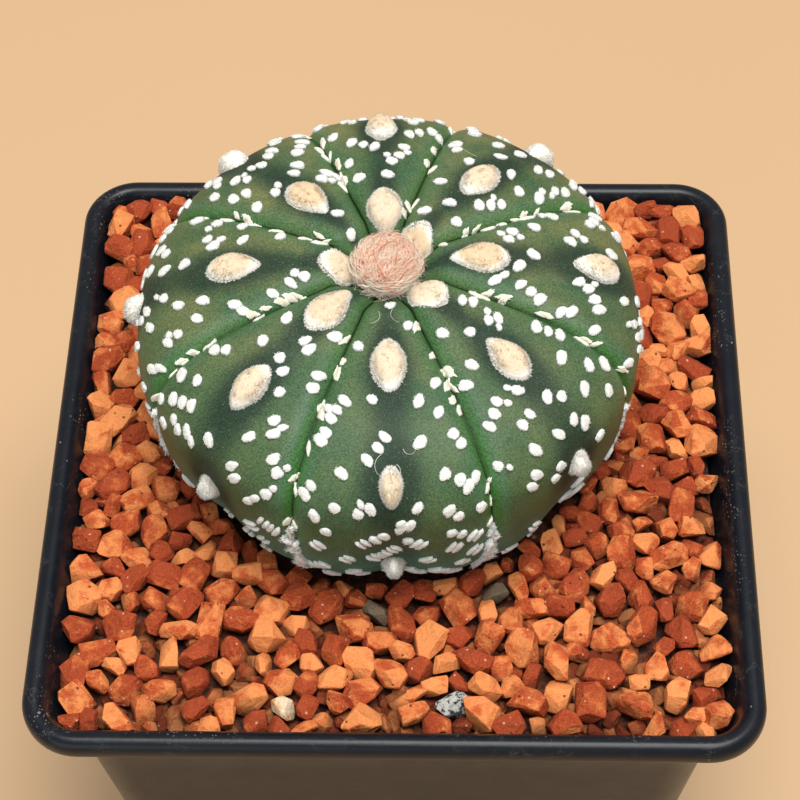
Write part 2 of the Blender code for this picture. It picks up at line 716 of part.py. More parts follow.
def crown_bud(collection, guides):
    """Woolly bud: a dome on a flat base with short tufts standing out of it."""
    bm = bmesh.new()
    bmesh.ops.create_uvsphere(bm, u_segments=16, v_segments=8, radius=1.0)
    base = CROWN_TOP + GAP
    centre = Vector((STEM_X, STEM_Y + CROWN_LEAN, base))
    waist = BUD_BASE_RADIUS / BUD_RADIUS
    floor = -math.sqrt(1.0 - waist * waist)
    high = BUD_HEIGHT / (1.0 - floor)
    for vertex in bm.verts:
        vertex.co.z = max(vertex.co.z, floor)
        vertex.co.x *= BUD_RADIUS
        vertex.co.y *= BUD_RADIUS
        vertex.co.z = (vertex.co.z - floor) * high
    bmesh.ops.dissolve_limit(bm, angle_limit=math.radians(1.0), verts=bm.verts, edges=bm.edges)
    bmesh.ops.translate(bm, vec=centre, verts=bm.verts)
    made = place_object("crown_bud", mesh_of(bm, "crown_bud"), collection)
    pieces = bpy.data.collections.new("tufts")
    guides.children.link(pieces)
    draw = np.random.default_rng(BUD_SEED)
    for i in range(BUD_TUFTS):
        rise = BUD_LOWEST_TUFT + (1.0 - BUD_LOWEST_TUFT) * (i + 0.5) / BUD_TUFTS
        angle = i * GOLDEN_ANGLE + draw.uniform(-0.2, 0.2)
        flat = math.sqrt(1.0 - rise * rise)
        out = Vector((flat * math.cos(angle), flat * math.sin(angle), rise))
        on_dome = Vector((out.x * BUD_RADIUS, out.y * BUD_RADIUS, (out.z - floor) * high))
        shown = BUD_TUFT_LENGTH * draw.uniform(0.7, 1.3)
        length = shown + BUD_TUFT_SINK
        bm = bmesh.new()
        bmesh.ops.create_cone(
            bm,
            segments=BUD_TUFT_SIDES,
            cap_ends=True,
            radius1=BUD_TUFT_RADIUS,
            radius2=BUD_TUFT_TIP_RADIUS,
            depth=length,
        )
        aim = out.to_track_quat("Z", "Y").to_matrix().to_4x4()
        shift = Matrix.Translation(centre + on_dome + out * (shown - 0.5 * length))
        bmesh.ops.transform(bm, matrix=shift @ aim, verts=bm.verts)
        place_object("tuft", mesh_of(bm, "tuft"), pieces)
    fuse_all(made, pieces)
    return finish(made, material("bud wool", (0.50, 0.23, 0.15), 0.9), 40.0)


def main():
    """Builds the pot, its fill and the plant."""
    for made in list(bpy.data.objects):
        bpy.data.objects.remove(made)
    parts = bpy.data.collections.new("Potted star cactus")
    guides = bpy.data.collections.new("Guides")
    bpy.context.scene.collection.children.link(parts)
    bpy.context.scene.collection.children.link(guides)
    pot(parts, guides)
    hole = stem_hole(guides)
    potting_mix(parts, hole)
    gravel(parts, guides, hole)
    cactus(parts, guides)
    crown_bud(parts, guides)


main()
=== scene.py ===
"""Potted star cactus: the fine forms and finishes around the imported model.

Metres, +Z up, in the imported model's frame: the origin lies under the middle of the pot, on the
surface that it stands on, and the front of the pot faces -Y. Azimuths run counterclockwise from
+X. On the plant a place is given by its azimuth and its arc, the way down from the crown.
"""

import logging
import math
from dataclasses import dataclass, field
from enum import Enum
from typing import Any, Sequence, Union

import bmesh
import bpy
import numpy as np
from mathutils import Matrix, Vector


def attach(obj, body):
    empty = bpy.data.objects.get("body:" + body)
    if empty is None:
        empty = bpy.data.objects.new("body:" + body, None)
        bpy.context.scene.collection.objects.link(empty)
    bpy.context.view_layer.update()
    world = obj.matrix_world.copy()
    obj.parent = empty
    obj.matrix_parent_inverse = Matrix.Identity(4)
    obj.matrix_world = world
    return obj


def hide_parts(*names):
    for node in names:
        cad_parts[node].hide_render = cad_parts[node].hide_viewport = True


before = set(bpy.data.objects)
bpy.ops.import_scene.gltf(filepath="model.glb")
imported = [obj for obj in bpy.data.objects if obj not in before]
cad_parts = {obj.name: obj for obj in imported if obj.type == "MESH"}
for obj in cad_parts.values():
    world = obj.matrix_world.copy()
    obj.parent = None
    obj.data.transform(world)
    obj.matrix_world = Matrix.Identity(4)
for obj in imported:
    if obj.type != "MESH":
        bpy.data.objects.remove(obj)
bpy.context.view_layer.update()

MM = 0.001
TAU = 2.0 * math.pi
TINY = 1e-9
GAP = 0.3 * MM
BODY = "root"
REPORT = logging.getLogger("potted star cactus")

Array = np.ndarray
Random = np.random.Generator
Piece = bpy.types.Object
Material = bpy.types.Material
Span = tuple[float, float]
Colour = tuple[float, float, float]
Input = Union["Signal", bpy.types.NodeSocket, float, tuple[float, ...]]


class Slot(Enum):
    """Names of material slots; no piece is given one here."""

    POT = "pot_plastic"
    STONE = "stone_chips"
    SKIN = "plant_skin"
    WOOL = "plant_wool"
    BUD = "bud_wool"


class OddStone(Enum):
    """Stones of another kind among the red ones."""

    QUARTZ = 1.0
    SPECKLED = 2.0
    SLATE = 3.0


def smoothstep(low: float, high: float, x: Array) -> Array:
    """Smooth rise, 3t squared less 2t cubed, where t goes from 0 at low to 1 at high."""
    t = np.clip((x - low) / (high - low), 0.0, 1.0)
    return t * t * (3.0 - 2.0 * t)


def unit(vectors: Array) -> Array:
    """Vectors divided by their lengths."""
    return vectors / np.maximum(np.linalg.norm(vectors, axis=-1, keepdims=True), TINY)


def ripple(points: Array, size: float, seed: int, waves: int = 14) -> Array:
    """Smooth seeded noise about 0: the mean of sine waves in random directions.

    Args:
        points: Places, in metres.
        size: Mean length of a wave, in metres.
        seed: Seed of the directions and phases.
        waves: Count of waves.

    Returns:
        One value at each place, mostly within -1 and 1.
    """
    draw = np.random.default_rng(seed)
    direction = unit(draw.normal(size=(waves, 3))) * draw.uniform(0.6, 1.6, (waves, 1))
    phase = draw.uniform(0.0, TAU, waves)
    return np.sin(points @ direction.T * (TAU / size) + phase).sum(axis=-1) * (1.8 / waves)


def rounded(flat: Array, half: Array, corner: Array | float) -> Array:
    """Points moved into a square with round corners, straight or towards the middle of an arc.

    Args:
        flat: Points, with 2 as the last axis.
        half: Half width of the square, along the same axis.
        corner: Radius of its corners.

    Returns:
        The points.
    """
    size = np.clip(np.abs(flat), 0.0, half)
    past = np.clip(size - (half - corner), 0.0, None)
    beyond = np.hypot(past[..., :1], past[..., 1:])
    pull = np.where(beyond > corner, corner / np.maximum(beyond, TINY), 1.0)
    return np.sign(flat) * np.where(past > 0.0, half - corner + past * pull, size)


def grid_faces(rows: int, around: int, copies: int = 1, wrap_rows: bool = False) -> Array:
    """Quads over grids of rows by points around, which face out where the rows run down.

    Args:
        rows: Rings of a grid.
        around: Points of a ring, which closes on itself.
        copies: Grids that follow each other in the list of points.
        wrap_rows: Whether the last ring joins the first.

    Returns:
        Corner indices, four to a quad.
    """
    i, j = np.arange(rows if wrap_rows else rows - 1)[:, None], np.arange(around)[None]
    here, below, beside = i * around, (i + 1) % rows * around, (j + 1) % around
    quads = np.stack(np.broadcast_arrays(here + j, below + j, below + beside, here + beside), axis=-1)
    return (quads.reshape(1, -1, 4) + np.arange(copies)[:, None, None] * rows * around).reshape(-1, 4)


def pad_faces(copies: int, rings: int, around: int) -> list[Array]:
    """Faces of pads, each with one middle point and rings around it, closed underneath.

    Args:
        copies: Count of pads.
        rings: Rings of a pad.
        around: Points of a ring.

    Returns:
        Triangles at the middles, quads between the rings, and the undersides.
    """
    start = (np.arange(copies) * (1 + rings * around))[:, None]
    j = np.arange(around)[None]
    fans = np.stack(np.broadcast_arrays(start, start + 1 + j, start + 1 + (j + 1) % around), axis=-1)
    quads = grid_faces(rings, around)[None] + 1 + start[:, :, None]
    return [fans.reshape(-1, 3), quads.reshape(-1, 4), start + 1 + (rings - 1) * around + j[:, ::-1]]


def on_rings(side: Array, share: Array) -> Array:
    """The outlines of pads drawn in to shares of their size, after 0 for the middle of each."""
    rings = (side[:, None] * share[:, None]).reshape(len(side), -1)
    return np.concatenate([np.zeros((len(side), 1)), rings], axis=1)


def link(name: str, data: bpy.types.ID) -> Piece:
    """Puts a mesh, lamp or camera in the scene.

    Args:
        name: Name of its object.
        data: What the object holds.

    Returns:
        The object.
    """
    made = bpy.data.objects.new(name, data)
    bpy.context.scene.collection.objects.link(made)
    return made


@dataclass
class Form:
    """Points and faces of a form, with named values at its points."""

    points: Array
    faces: list[Array]
    values: dict[str, Array] = field(default_factory=dict)

    @staticmethod
    def joined(forms: Sequence["Form"]) -> "Form":
        """One form of several that have the same named values.

        Args:
            forms: The forms.

        Returns:
            All of them in one.
        """
        starts = np.cumsum([0] + [len(form.points) for form in forms])
        return Form(
            np.concatenate([form.points for form in forms]),
            [faces + start for form, start in zip(forms, starts) for faces in form.faces],
            {name: np.concatenate([form.values[name] for form in forms]) for name in forms[0].values},
        )

    def make(self, name: str, finish: Material | None = None) -> Piece:
        """Smooth shaded object of this form, with its place in its mesh.

        Args:
            name: Name of the piece.
            finish: Its material, if it has one yet.

        Returns:
            The piece.
        """
        mesh = bpy.data.meshes.new(name)
        corners = np.concatenate([faces.ravel() for faces in self.faces])
        sizes = np.concatenate([np.full(len(faces), faces.shape[1]) for faces in self.faces])
        mesh.vertices.add(len(self.points))
        mesh.vertices.foreach_set("co", self.points.astype(np.float32).ravel())
        mesh.loops.add(len(corners))
        mesh.loops.foreach_set("vertex_index", corners.astype(np.int32))
        mesh.polygons.add(len(sizes))
        mesh.polygons.foreach_set("loop_start", np.r_[0, np.cumsum(sizes)[:-1]].astype(np.int32))
        mesh.update(calc_edges=True)
        for key, value in self.values.items():
            mesh.attributes.new(key, "FLOAT", "POINT").data.foreach_set("value", value.astype(np.float32))
        mesh.shade_smooth()
        if finish:
            mesh.materials.append(finish)
        return link(name, mesh)


def circles(along: Array, guide: Array, sides: int) -> Array:
    """Unit circles square to directions, by cosine and sine of the angle round each.

    Args:
        along: The directions.
        guide: Directions that set where the circles start.
        sides: Points of a circle.

    Returns:
        Points, with sides and 3 as the last axes.
    """
    beside = unit(np.cross(np.broadcast_to(guide, along.shape), along))
    above = np.cross(along, beside)
    angle = TAU * np.arange(sides) / sides
    return np.cos(angle)[:, None] * beside[..., None, :] + np.sin(angle)[:, None] * above[..., None, :]


def strands(paths: Array, radii: Array, sides: int = 3) -> Form:
    """Tubes along paths: a ring of points stands square to its path at each of its steps.

    Args:
        paths: Points down each strand, as strands by steps by 3.
        radii: Radius at each of them, as strands by steps.
        sides: Points of a ring.

    Returns:
        The strands, closed at both ends.
    """
    count, steps = paths.shape[:2]
    along = unit(np.gradient(paths, axis=1))
    guide = np.eye(3)[np.abs(along.mean(axis=1)).argmin(axis=1)][:, None]
    points = paths[:, :, None] + radii[:, :, None, None] * circles(along, guide, sides)
    quads = grid_faces(steps, sides, count)[:, ::-1]
    start = np.arange(count)[:, None] * steps * sides + np.arange(sides)[None]
    return Form(points.reshape(-1, 3), [quads, start[:, ::-1], start + (steps - 1) * sides])


def spikes(base: Array, tip: Array, radius: Array, edge: Array, own: Array) -> Form:
    """Short straight hairs: a triangle round the base of each, drawn to one point at its tip.

    Args:
        base: Where each starts, as pads by hairs by 3.
        tip: Where each ends.
        radius: Radius of each at its base.
        edge: Share of the rim's colour of each.
        own: Colour factor of each pad.

    Returns:
        The hairs, of four points and four faces each, closed at the base.
    """
    edge, own = (np.repeat(np.broadcast_to(value, base.shape[:2]), 4) for value in (edge, own[:, None]))
    base, tip = base.reshape(-1, 3), tip.reshape(-1, 3)
    along = unit(tip - base)
    ring = circles(along, np.eye(3)[np.abs(along).argmin(axis=1)], 3)
    points = np.concatenate([base[:, None] + radius[:, None, None] * ring, tip[:, None]], axis=1)
    faces = np.array([[0, 1, 3], [1, 2, 3], [2, 0, 3], [2, 1, 0]]) + 4 * np.arange(len(base))[:, None, None]
    return Form(points.reshape(-1, 3), [faces.reshape(-1, 3)], {"edge": edge, "own": own})


# Finishes


class Signal:
    """A shader output that takes part in arithmetic."""

    def __init__(self, net: "Net", socket: bpy.types.NodeSocket) -> None:
        """Keeps the output and the net that it is in."""
        self.net = net
        self.socket = socket

    def _math(self, operation: str, first: Input, second: Input = 0.0) -> "Signal":
        """Result of a Math node."""
        return self.net.signal("ShaderNodeMath", {"operation": operation}, {0: first, 1: second})

    def __add__(self, other: Input) -> "Signal":
        """Sum."""
        return self._math("ADD", self, other)

    def __sub__(self, other: Input) -> "Signal":
        """Difference."""
        return self._math("SUBTRACT", self, other)

    def __rsub__(self, other: Input) -> "Signal":
        """Difference from another value."""
        return self._math("SUBTRACT", other, self)

    def __mul__(self, other: Input) -> "Signal":
        """Product."""
        return self._math("MULTIPLY", self, other)

    __radd__, __rmul__ = __add__, __mul__

    def __abs__(self) -> "Signal":
        """Size without its sign."""
        return self._math("ABSOLUTE", self)

    def __gt__(self, other: Input) -> "Signal":
        """1 where this is the greater, and else 0."""
        return self._math("GREATER_THAN", self, other)

    def most(self, other: Input) -> "Signal":
        """The greater of two values."""
        return self._math("MAXIMUM", self, other)

    def rise(self, low: float, high: float) -> "Signal":
        """Smooth rise from 0 at low to 1 at high."""
        inputs = {"Value": self, "From Min": low, "From Max": high}
        return self.net.signal("ShaderNodeMapRange", {"interpolation_type": "SMOOTHSTEP"}, inputs)

    def fall(self, low: float, high: float) -> "Signal":
        """Smooth fall from 1 at low to 0 at high."""
        return 1.0 - self.rise(low, high)


class Net:
    """The nodes of one material."""

    def __init__(self, name: str) -> None:
        """Starts a material with its shader and the piece's own coordinates.

        Args:
            name: Name of the material.
        """
        self.material = bpy.data.materials.new(name)
        self.material.use_nodes = True
        self.tree = self.material.node_tree
        self.shader = self.tree.nodes["Principled BSDF"]
        self.place = self.signal("ShaderNodeTexCoord", {}, {}, "Object")

    def node(self, kind: str, settings: dict[str, Any], inputs: dict[Any, Input]) -> bpy.types.Node:
        """A node of any type.

        Args:
            kind: Its type.
            settings: Its properties, set first.
            inputs: Values or links of its sockets, by name or number.

        Returns:
            The node.
        """
        made = self.tree.nodes.new(kind)
        for key, value in settings.items():
            setattr(made, key, value)
        for key, value in inputs.items():
            self.feed(made.inputs[key], value)
        return made

    def feed(self, socket: bpy.types.NodeSocket, value: Input) -> None:
        """Links a signal or an output to a socket, or sets the socket's own value.

        Args:
            socket: The socket.
            value: What it gets.
        """
        if isinstance(value, (Signal, bpy.types.NodeSocket)):
            self.tree.links.new(value.socket if isinstance(value, Signal) else value, socket)
        elif isinstance(value, tuple) and socket.type == "RGBA":
            socket.default_value = (*value, 1.0)
        else:
            socket.default_value = value

    def signal(
        self, kind: str, settings: dict[str, Any], inputs: dict[Any, Input], output: Any = 0
    ) -> Signal:
        """An output, by name or number, of a new node."""
        return Signal(self, self.node(kind, settings, inputs).outputs[output])

    def value(self, name: str) -> Signal:
        """A named value of the mesh."""
        return self.signal("ShaderNodeAttribute", {"attribute_name": name}, {}, "Fac")

    def axis(self, index: int) -> Signal:
        """One of the piece's own coordinates, 0 for X to 2 for Z."""
        return self.signal("ShaderNodeSeparateXYZ", {}, {0: self.place}, index)

    def stretched(self, scale: tuple[float, float, float]) -> Signal:
        """The piece's coordinates, multiplied along each axis."""
        return self.signal("ShaderNodeMapping", {}, {"Vector": self.place, "Scale": scale})

    def noise(
        self, size: float, detail: float = 2.0, rough: float = 0.5, vector: Input | None = None
    ) -> Signal:
        """Soft noise between 0 and 1.

        Args:
            size: Size of its lumps, in metres.
            detail: Count of finer layers.
            rough: Weight of the finer layers.
            vector: Coordinates, if not the piece's own.

        Returns:
            The noise.
        """
        inputs = {"Scale": 1.0 / size, "Detail": detail, "Roughness": rough}
        inputs["Vector"] = self.place if vector is None else vector
        return self.signal("ShaderNodeTexNoise", {}, inputs)

    def dots(self, size: float, share: float, radius: float = 0.3) -> Signal:
        """Round dots, one in some of the cells of a Voronoi pattern.

        Args:
            size: Size of a cell, in metres.
            share: Share of the cells that have a dot.
            radius: Radius of a dot, as a share of a cell.

        Returns:
            1 in the dots.
        """
        cells = self.node("ShaderNodeTexVoronoi", {}, {"Vector": self.place, "Scale": 1.0 / size})
        pick = self.signal("ShaderNodeSeparateColor", {}, {0: cells.outputs["Color"]}, 0)
        dot = Signal(self, cells.outputs["Distance"]).fall(0.55 * radius, radius)
        return dot * (pick > 1.0 - share)

    def mix(self, share: Input, first: Input, second: Input, blend: str = "MIX") -> Signal:
        """Two colours mixed or otherwise blended, by the share of the second."""
        settings = {"data_type": "RGBA", "blend_type": blend, "clamp_factor": True}
        return self.signal("ShaderNodeMix", settings, {0: share, 6: first, 7: second}, 2)

    def shade(self, colour: Input, amount: Input) -> Signal:
        """A colour multiplied by an amount of light."""
        grey = self.signal("ShaderNodeCombineColor", {}, {0: amount, 1: amount, 2: amount})
        return self.mix(1.0, colour, grey, "MULTIPLY")

    def relief(self, height: Input, depth: float, strength: float = 1.0) -> Signal:
        """Normal of a surface whose height goes from 0 to 1 over a depth in metres."""
        inputs = {"Height": height, "Distance": depth, "Strength": strength}
        return self.signal("ShaderNodeBump", {}, inputs)

    def finish(self, **inputs: Input) -> Material:
        """Feeds the shader's sockets, which are named with _ for a space.

        Args:
            **inputs: Values and links.

        Returns:
            The material.
        """
        for key, value in inputs.items():
            self.feed(self.shader.inputs[key.replace("_", " ").title().replace("Ior", "IOR")], value)
        return self.material


@dataclass(frozen=True)
class PlasticFinish:
    """Blue-black satin plastic with dust on its lip and hairline scratches."""

    base: Colour = (0.0045, 0.0062, 0.0100)
    cloud: Colour = (0.0065, 0.0082, 0.0125)
    dust: Colour = (0.22, 0.22, 0.20)
    rim: float = 80.0 * MM
    inner_edge: float = 43.4 * MM

    def material(self) -> Material:
        """The finish as a material.

        Returns:
            The material.
        """
        net = Net("pot plastic")
        cloudy = net.noise(5.0 * MM, 5.0, 0.6)
        side = abs(net.axis(0)).most(abs(net.axis(1)))
        high = net.axis(2).rise(self.rim - 4.0 * MM, self.rim - 1.0 * MM)
        inside = side.fall(self.inner_edge - 1.2 * MM, self.inner_edge + 0.8 * MM)
        patch = net.noise(11.0 * MM, 3.0, 0.55).rise(0.48, 0.70)
        fine = net.dots(0.36 * MM, 0.34, 0.36).most(net.dots(0.8 * MM, 0.14, 0.28))
        specks = fine * patch * high * (inside * 0.94 + 0.06)
        stray = net.dots(1.3 * MM, 0.025, 0.14) * high
        grain = net.noise(7.0 * MM, 6.0, 0.72, net.stretched((1.0, 1.0, 3.0)))
        scratch = abs(grain - 0.5).fall(0.0, 0.008) * net.noise(4.0 * MM).rise(0.5, 0.62)
        film = net.noise(2.2 * MM, 4.0, 0.6).rise(0.5, 0.8) * high * inside * 0.03
        worn = specks.most(stray * 0.8).most(scratch * 0.24)
        dusty = worn.most(film)
        colour = net.mix(cloudy.rise(0.35, 0.75), self.base, self.cloud)
        bump = net.noise(0.5 * MM, 2.0) * 0.35 + worn * 0.6
        return net.finish(
            base_color=net.mix(dusty, colour, self.dust),
            roughness=0.24 + cloudy * 0.18 + dusty * 0.4,
            normal=net.relief(bump, 0.05 * MM, 0.6),
            specular_ior_level=0.235,
        )


@dataclass(frozen=True)
class MixFinish:
    """Dark peaty growing mix with pale grit."""

    dark: Colour = (0.012, 0.007, 0.004)
    brown: Colour = (0.055, 0.030, 0.016)
    grit: Colour = (0.40, 0.34, 0.27)

    def material(self) -> Material:
        """The finish as a material.

        Returns:
            The material.
        """
        net = Net("growing mix")
        crumbs = net.noise(1.4 * MM, 6.0, 0.7)
        grit = net.dots(1.6 * MM, 0.12, 0.3)
        colour = net.mix(grit, net.mix(crumbs.rise(0.38, 0.64), self.dark, self.brown), self.grit)
        normal = net.relief(crumbs + grit * 0.4, 0.6 * MM)
        return net.finish(base_color=colour, roughness=0.95, normal=normal)


@dataclass(frozen=True)
class StoneFinish:
    """Crushed baked clay: dusty orange outer skins and brick-red broken faces, with odd stones."""

    red: Colour = (0.52, 0.092, 0.024)
    deep: Colour = (0.36, 0.058, 0.018)
    pale: Colour = (0.66, 0.18, 0.050)
    dusty: Colour = (0.76, 0.27, 0.088)
    speck: Colour = (0.82, 0.52, 0.36)
    # Painted shade in the pits.
    pit: Colour = (0.07, 0.016, 0.008)
    quartz: Colour = (0.80, 0.64, 0.44)
    stain: Colour = (0.70, 0.36, 0.14)
    grey: Colour = (0.52, 0.53, 0.50)
    ink: Colour = (0.035, 0.045, 0.055)
    slate: Colour = (0.20, 0.130, 0.070)
    slope: float = 0.032
    # Heights over which the painted shade of low stones fades out.
    depth_shade_heights: Span = (76.3 * MM, 78.0 * MM)

    def material(self) -> Material:
        """The finish as a material; tone is 0 on broken faces and 1 on outer skins.

        Returns:
            The material.
        """
        net = Net("stone chips")
        own, odd = net.value("own"), net.value("odd")
        blotch = net.noise(1.5 * MM, 4.0, 0.6)
        grain = net.noise(0.22 * MM, 3.0, 0.65)
        drift = net.noise(3.2 * MM, 2.0, 0.5)
        skin = own * 0.7 + net.value("tone") * 0.2 + (blotch - 0.5) * 1.1 + (drift - 0.5) * 1.0
        skin = skin.rise(0.26, 0.70)
        red = net.mix((own + (grain - 0.5) * 2.0 + drift - 0.5).rise(0.05, 0.85), self.deep, self.red)
        pale = net.mix((own + (blotch - 0.5) * 1.4).rise(0.0, 1.0), self.pale, self.dusty)
        specks = net.dots(0.75 * MM, 0.14, 0.26) * (1.0 - skin * 0.8)
        pits = net.dots(1.1 * MM, 0.14, 0.2)
        clay = net.mix(specks * 0.7, net.mix(skin, red, pale), self.speck)
        # Pits are painted dark: painted shade in the small hollows.
        clay = net.mix(pits * 0.8, clay, self.pit)
        quartz = net.mix(blotch.rise(0.46, 0.68), self.quartz, self.stain)
        spotted = net.mix(net.noise(0.7 * MM, 3.0, 0.6).rise(0.5, 0.58), self.grey, self.ink)
        slate = net.shade(net.mix(grain * 0.16, self.slate, self.grey), 0.75)
        colour = net.mix(odd > 0.5, clay, quartz)
        colour = net.mix(odd > 2.5, net.mix(odd > 1.5, colour, spotted), slate)
        # Painted shade: stones are darker the lower they sit, allowing for the bed's rise, for shade in the
        # gaps.
        painted_depth_shade = 0.36 + (net.axis(2) - net.axis(1) * self.slope).rise(*self.depth_shade_heights) * 0.64
        height = grain * 0.4 + net.noise(0.6 * MM, 3.0) * (1.1 - skin * 0.6) + net.noise(1.6 * MM, 2.0) * 1.2
        return net.finish(
            base_color=net.shade(colour, (0.50 + grain * 0.80 + (own - 0.5) * 0.12) * painted_depth_shade),
            roughness=0.88,
            normal=net.relief(height - pits * 0.4, 0.34 * MM, 0.9),
            specular_ior_level=0.25,
        )


@dataclass(frozen=True)
class SkinFinish:
    """Leathery green skin: dark round the pads, grey bloom, painted sheen and light beside the furrows."""

    dark: Colour = (0.015, 0.032, 0.021)
    green: Colour = (0.050, 0.108, 0.049)
    painted_groove_light: Colour = (0.046, 0.150, 0.030)
    painted_sheen: Colour = (0.062, 0.150, 0.076)
    bloom: Colour = (0.10, 0.15, 0.11)
    olive: Colour = (0.160, 0.164, 0.064)
    under: Colour = (0.078, 0.225, 0.175)
    # Painted shade in the creases of the furrows.
    line: Colour = (0.012, 0.036, 0.008)
    speck: Colour = (0.17, 0.25, 0.14)
    front_to_back: Span = (-30.0 * MM, 25.0 * MM)

    def material(self) -> Material:
        """The finish as a material; it reads the named values of the stem's skin.

        Returns:
            The material.
        """
        net = Net("green skin")
        names = ("across", "halo", "crest", "furrow", "low", "outer")
        across, halo, crest, furrow, low, outer = (net.value(name) for name in names)
        cloud = net.noise(7.0 * MM, 3.0, 0.55)
        fine = net.noise(0.21 * MM, 2.0, 0.6)
        # Olive toward the back: partly own tint, partly painted warm reflection on faces tilted away.
        behind = net.axis(1).rise(*self.front_to_back)
        colour = net.mix(cloud.rise(0.3, 0.7) * (0.14 + behind * 0.70), self.green, self.olive)
        colour = net.mix(outer * (0.05 + behind * 0.4) * (1.0 - low), colour, self.olive)
        colour = net.mix((crest * 0.75 + halo * 0.8).rise(0.25, 1.1) * 0.9, colour, self.dark)
        veil = net.noise(4.5 * MM, 3.0, 0.6).rise(0.50, 0.72) * crest * (1.0 - halo)
        colour = net.mix(veil * 0.3, colour, self.bloom)
        # Painted sheen: a teal band along each furrow stands in for the reflection of the cool overhead
        # light.
        colour = net.mix(furrow.rise(0.2, 0.9) * (0.4 + outer * 0.5), colour, self.painted_sheen)
        # Painted light: a brighter, more saturated green close along each furrow.
        colour = net.mix(furrow.rise(0.72, 0.98) * (0.35 + outer * 0.65), colour, self.painted_groove_light)
        # Low down: partly the skin's own tint, partly painted cool light on the underside.
        colour = net.mix(low * (0.7 + (cloud - 0.5)), colour, self.under)
        # Painted shade: a thin near-black line along the bottom of each furrow.
        colour = net.mix(across.fall(0.02, 0.2), colour, self.line)
        colour = net.shade(colour, 0.60 + fine.rise(0.34, 0.66) * 0.58 + (cloud - 0.5) * 0.3)
        specks = net.dots(0.30 * MM, 0.5, 0.26).most(net.dots(0.45 * MM, 0.25, 0.25))
        specks = specks * (0.25 + net.noise(3.0 * MM, 2.0).rise(0.4, 0.65) * 0.4 + halo * 0.3)
        return net.finish(
            base_color=net.mix(specks * 0.6, colour, self.speck),
            roughness=0.46 - furrow * 0.14 + (fine - 0.5) * 0.2 + veil * 0.15 + halo * 0.25 + low * 0.15,
            normal=net.relief(fine + net.noise(1.1 * MM, 2.0) * 0.25, 0.07 * MM, 0.8),
            specular_ior_level=0.18,
        )


@dataclass(frozen=True)
class WoolFinish:
    """Cream wool: beige in the middle of a pad and near white along its rim."""

    name: str
    middle: Colour = (0.70, 0.585, 0.435)
    warm: Colour = (0.66, 0.485, 0.30)
    rim: Colour = (0.93, 0.905, 0.84)
    lump: float = 0.35 * MM
    shadow: float = 0.72
    depth: float = 0.11 * MM

    def material(self) -> Material:
        """The finish as a material; edge is 0 in the middle of a pad and 1 at its rim.

        Returns:
            The material.
        """
        net = Net(self.name)
        lumps = net.noise(self.lump, 4.0, 0.65)
        fibre = net.noise(0.14 * MM, 2.0, 0.6)
        tone = (net.value("edge") + (lumps - 0.5) * 0.6).rise(0.30, 0.95)
        colour = net.mix(net.value("own").rise(0.1, 1.0) * 0.7, self.middle, self.warm)
        colour = net.mix(tone, colour, self.rim)
        return net.finish(
            base_color=net.shade(colour, self.shadow + (1.0 - self.shadow) * 1.1 * (fibre + lumps)),
            roughness=0.92,
            normal=net.relief(fibre + lumps, self.depth),
            specular_ior_level=0.15,
        )


@dataclass(frozen=True)
class BudFinish:
    """Bud wool: salmon hairs with red-brown ones among them, and cream at the foot."""

    salmon: Colour = (0.90, 0.60, 0.45)
    rust: Colour = (0.68, 0.21, 0.10)
    cream: Colour = (0.90, 0.82, 0.69)

    def material(self) -> Material:
        """The finish as a material; tone is 0 in cream hairs, 0.5 in salmon and 1 in rust.

        Returns:
            The material.
        """
        net = Net("bud wool")
        tone = net.value("tone")
        fibre = net.noise(0.2 * MM, 3.0, 0.6)
        colour = net.mix(tone.rise(0.1, 0.45), self.cream, self.salmon)
        colour = net.mix(tone.rise(0.6, 0.95), colour, self.rust)
        return net.finish(
            base_color=net.shade(colour, 0.75 + fibre * 0.5), roughness=0.8, specular_ior_level=0.2
        )


@dataclass(frozen=True)
class PlainFinish:
    """One colour all over."""

    name: str
    colour: Colour
    roughness: float

    def material(self) -> Material:
        """The finish as a material."""
        return Net(self.name).finish(base_color=self.colour, roughness=self.roughness)


# The pot


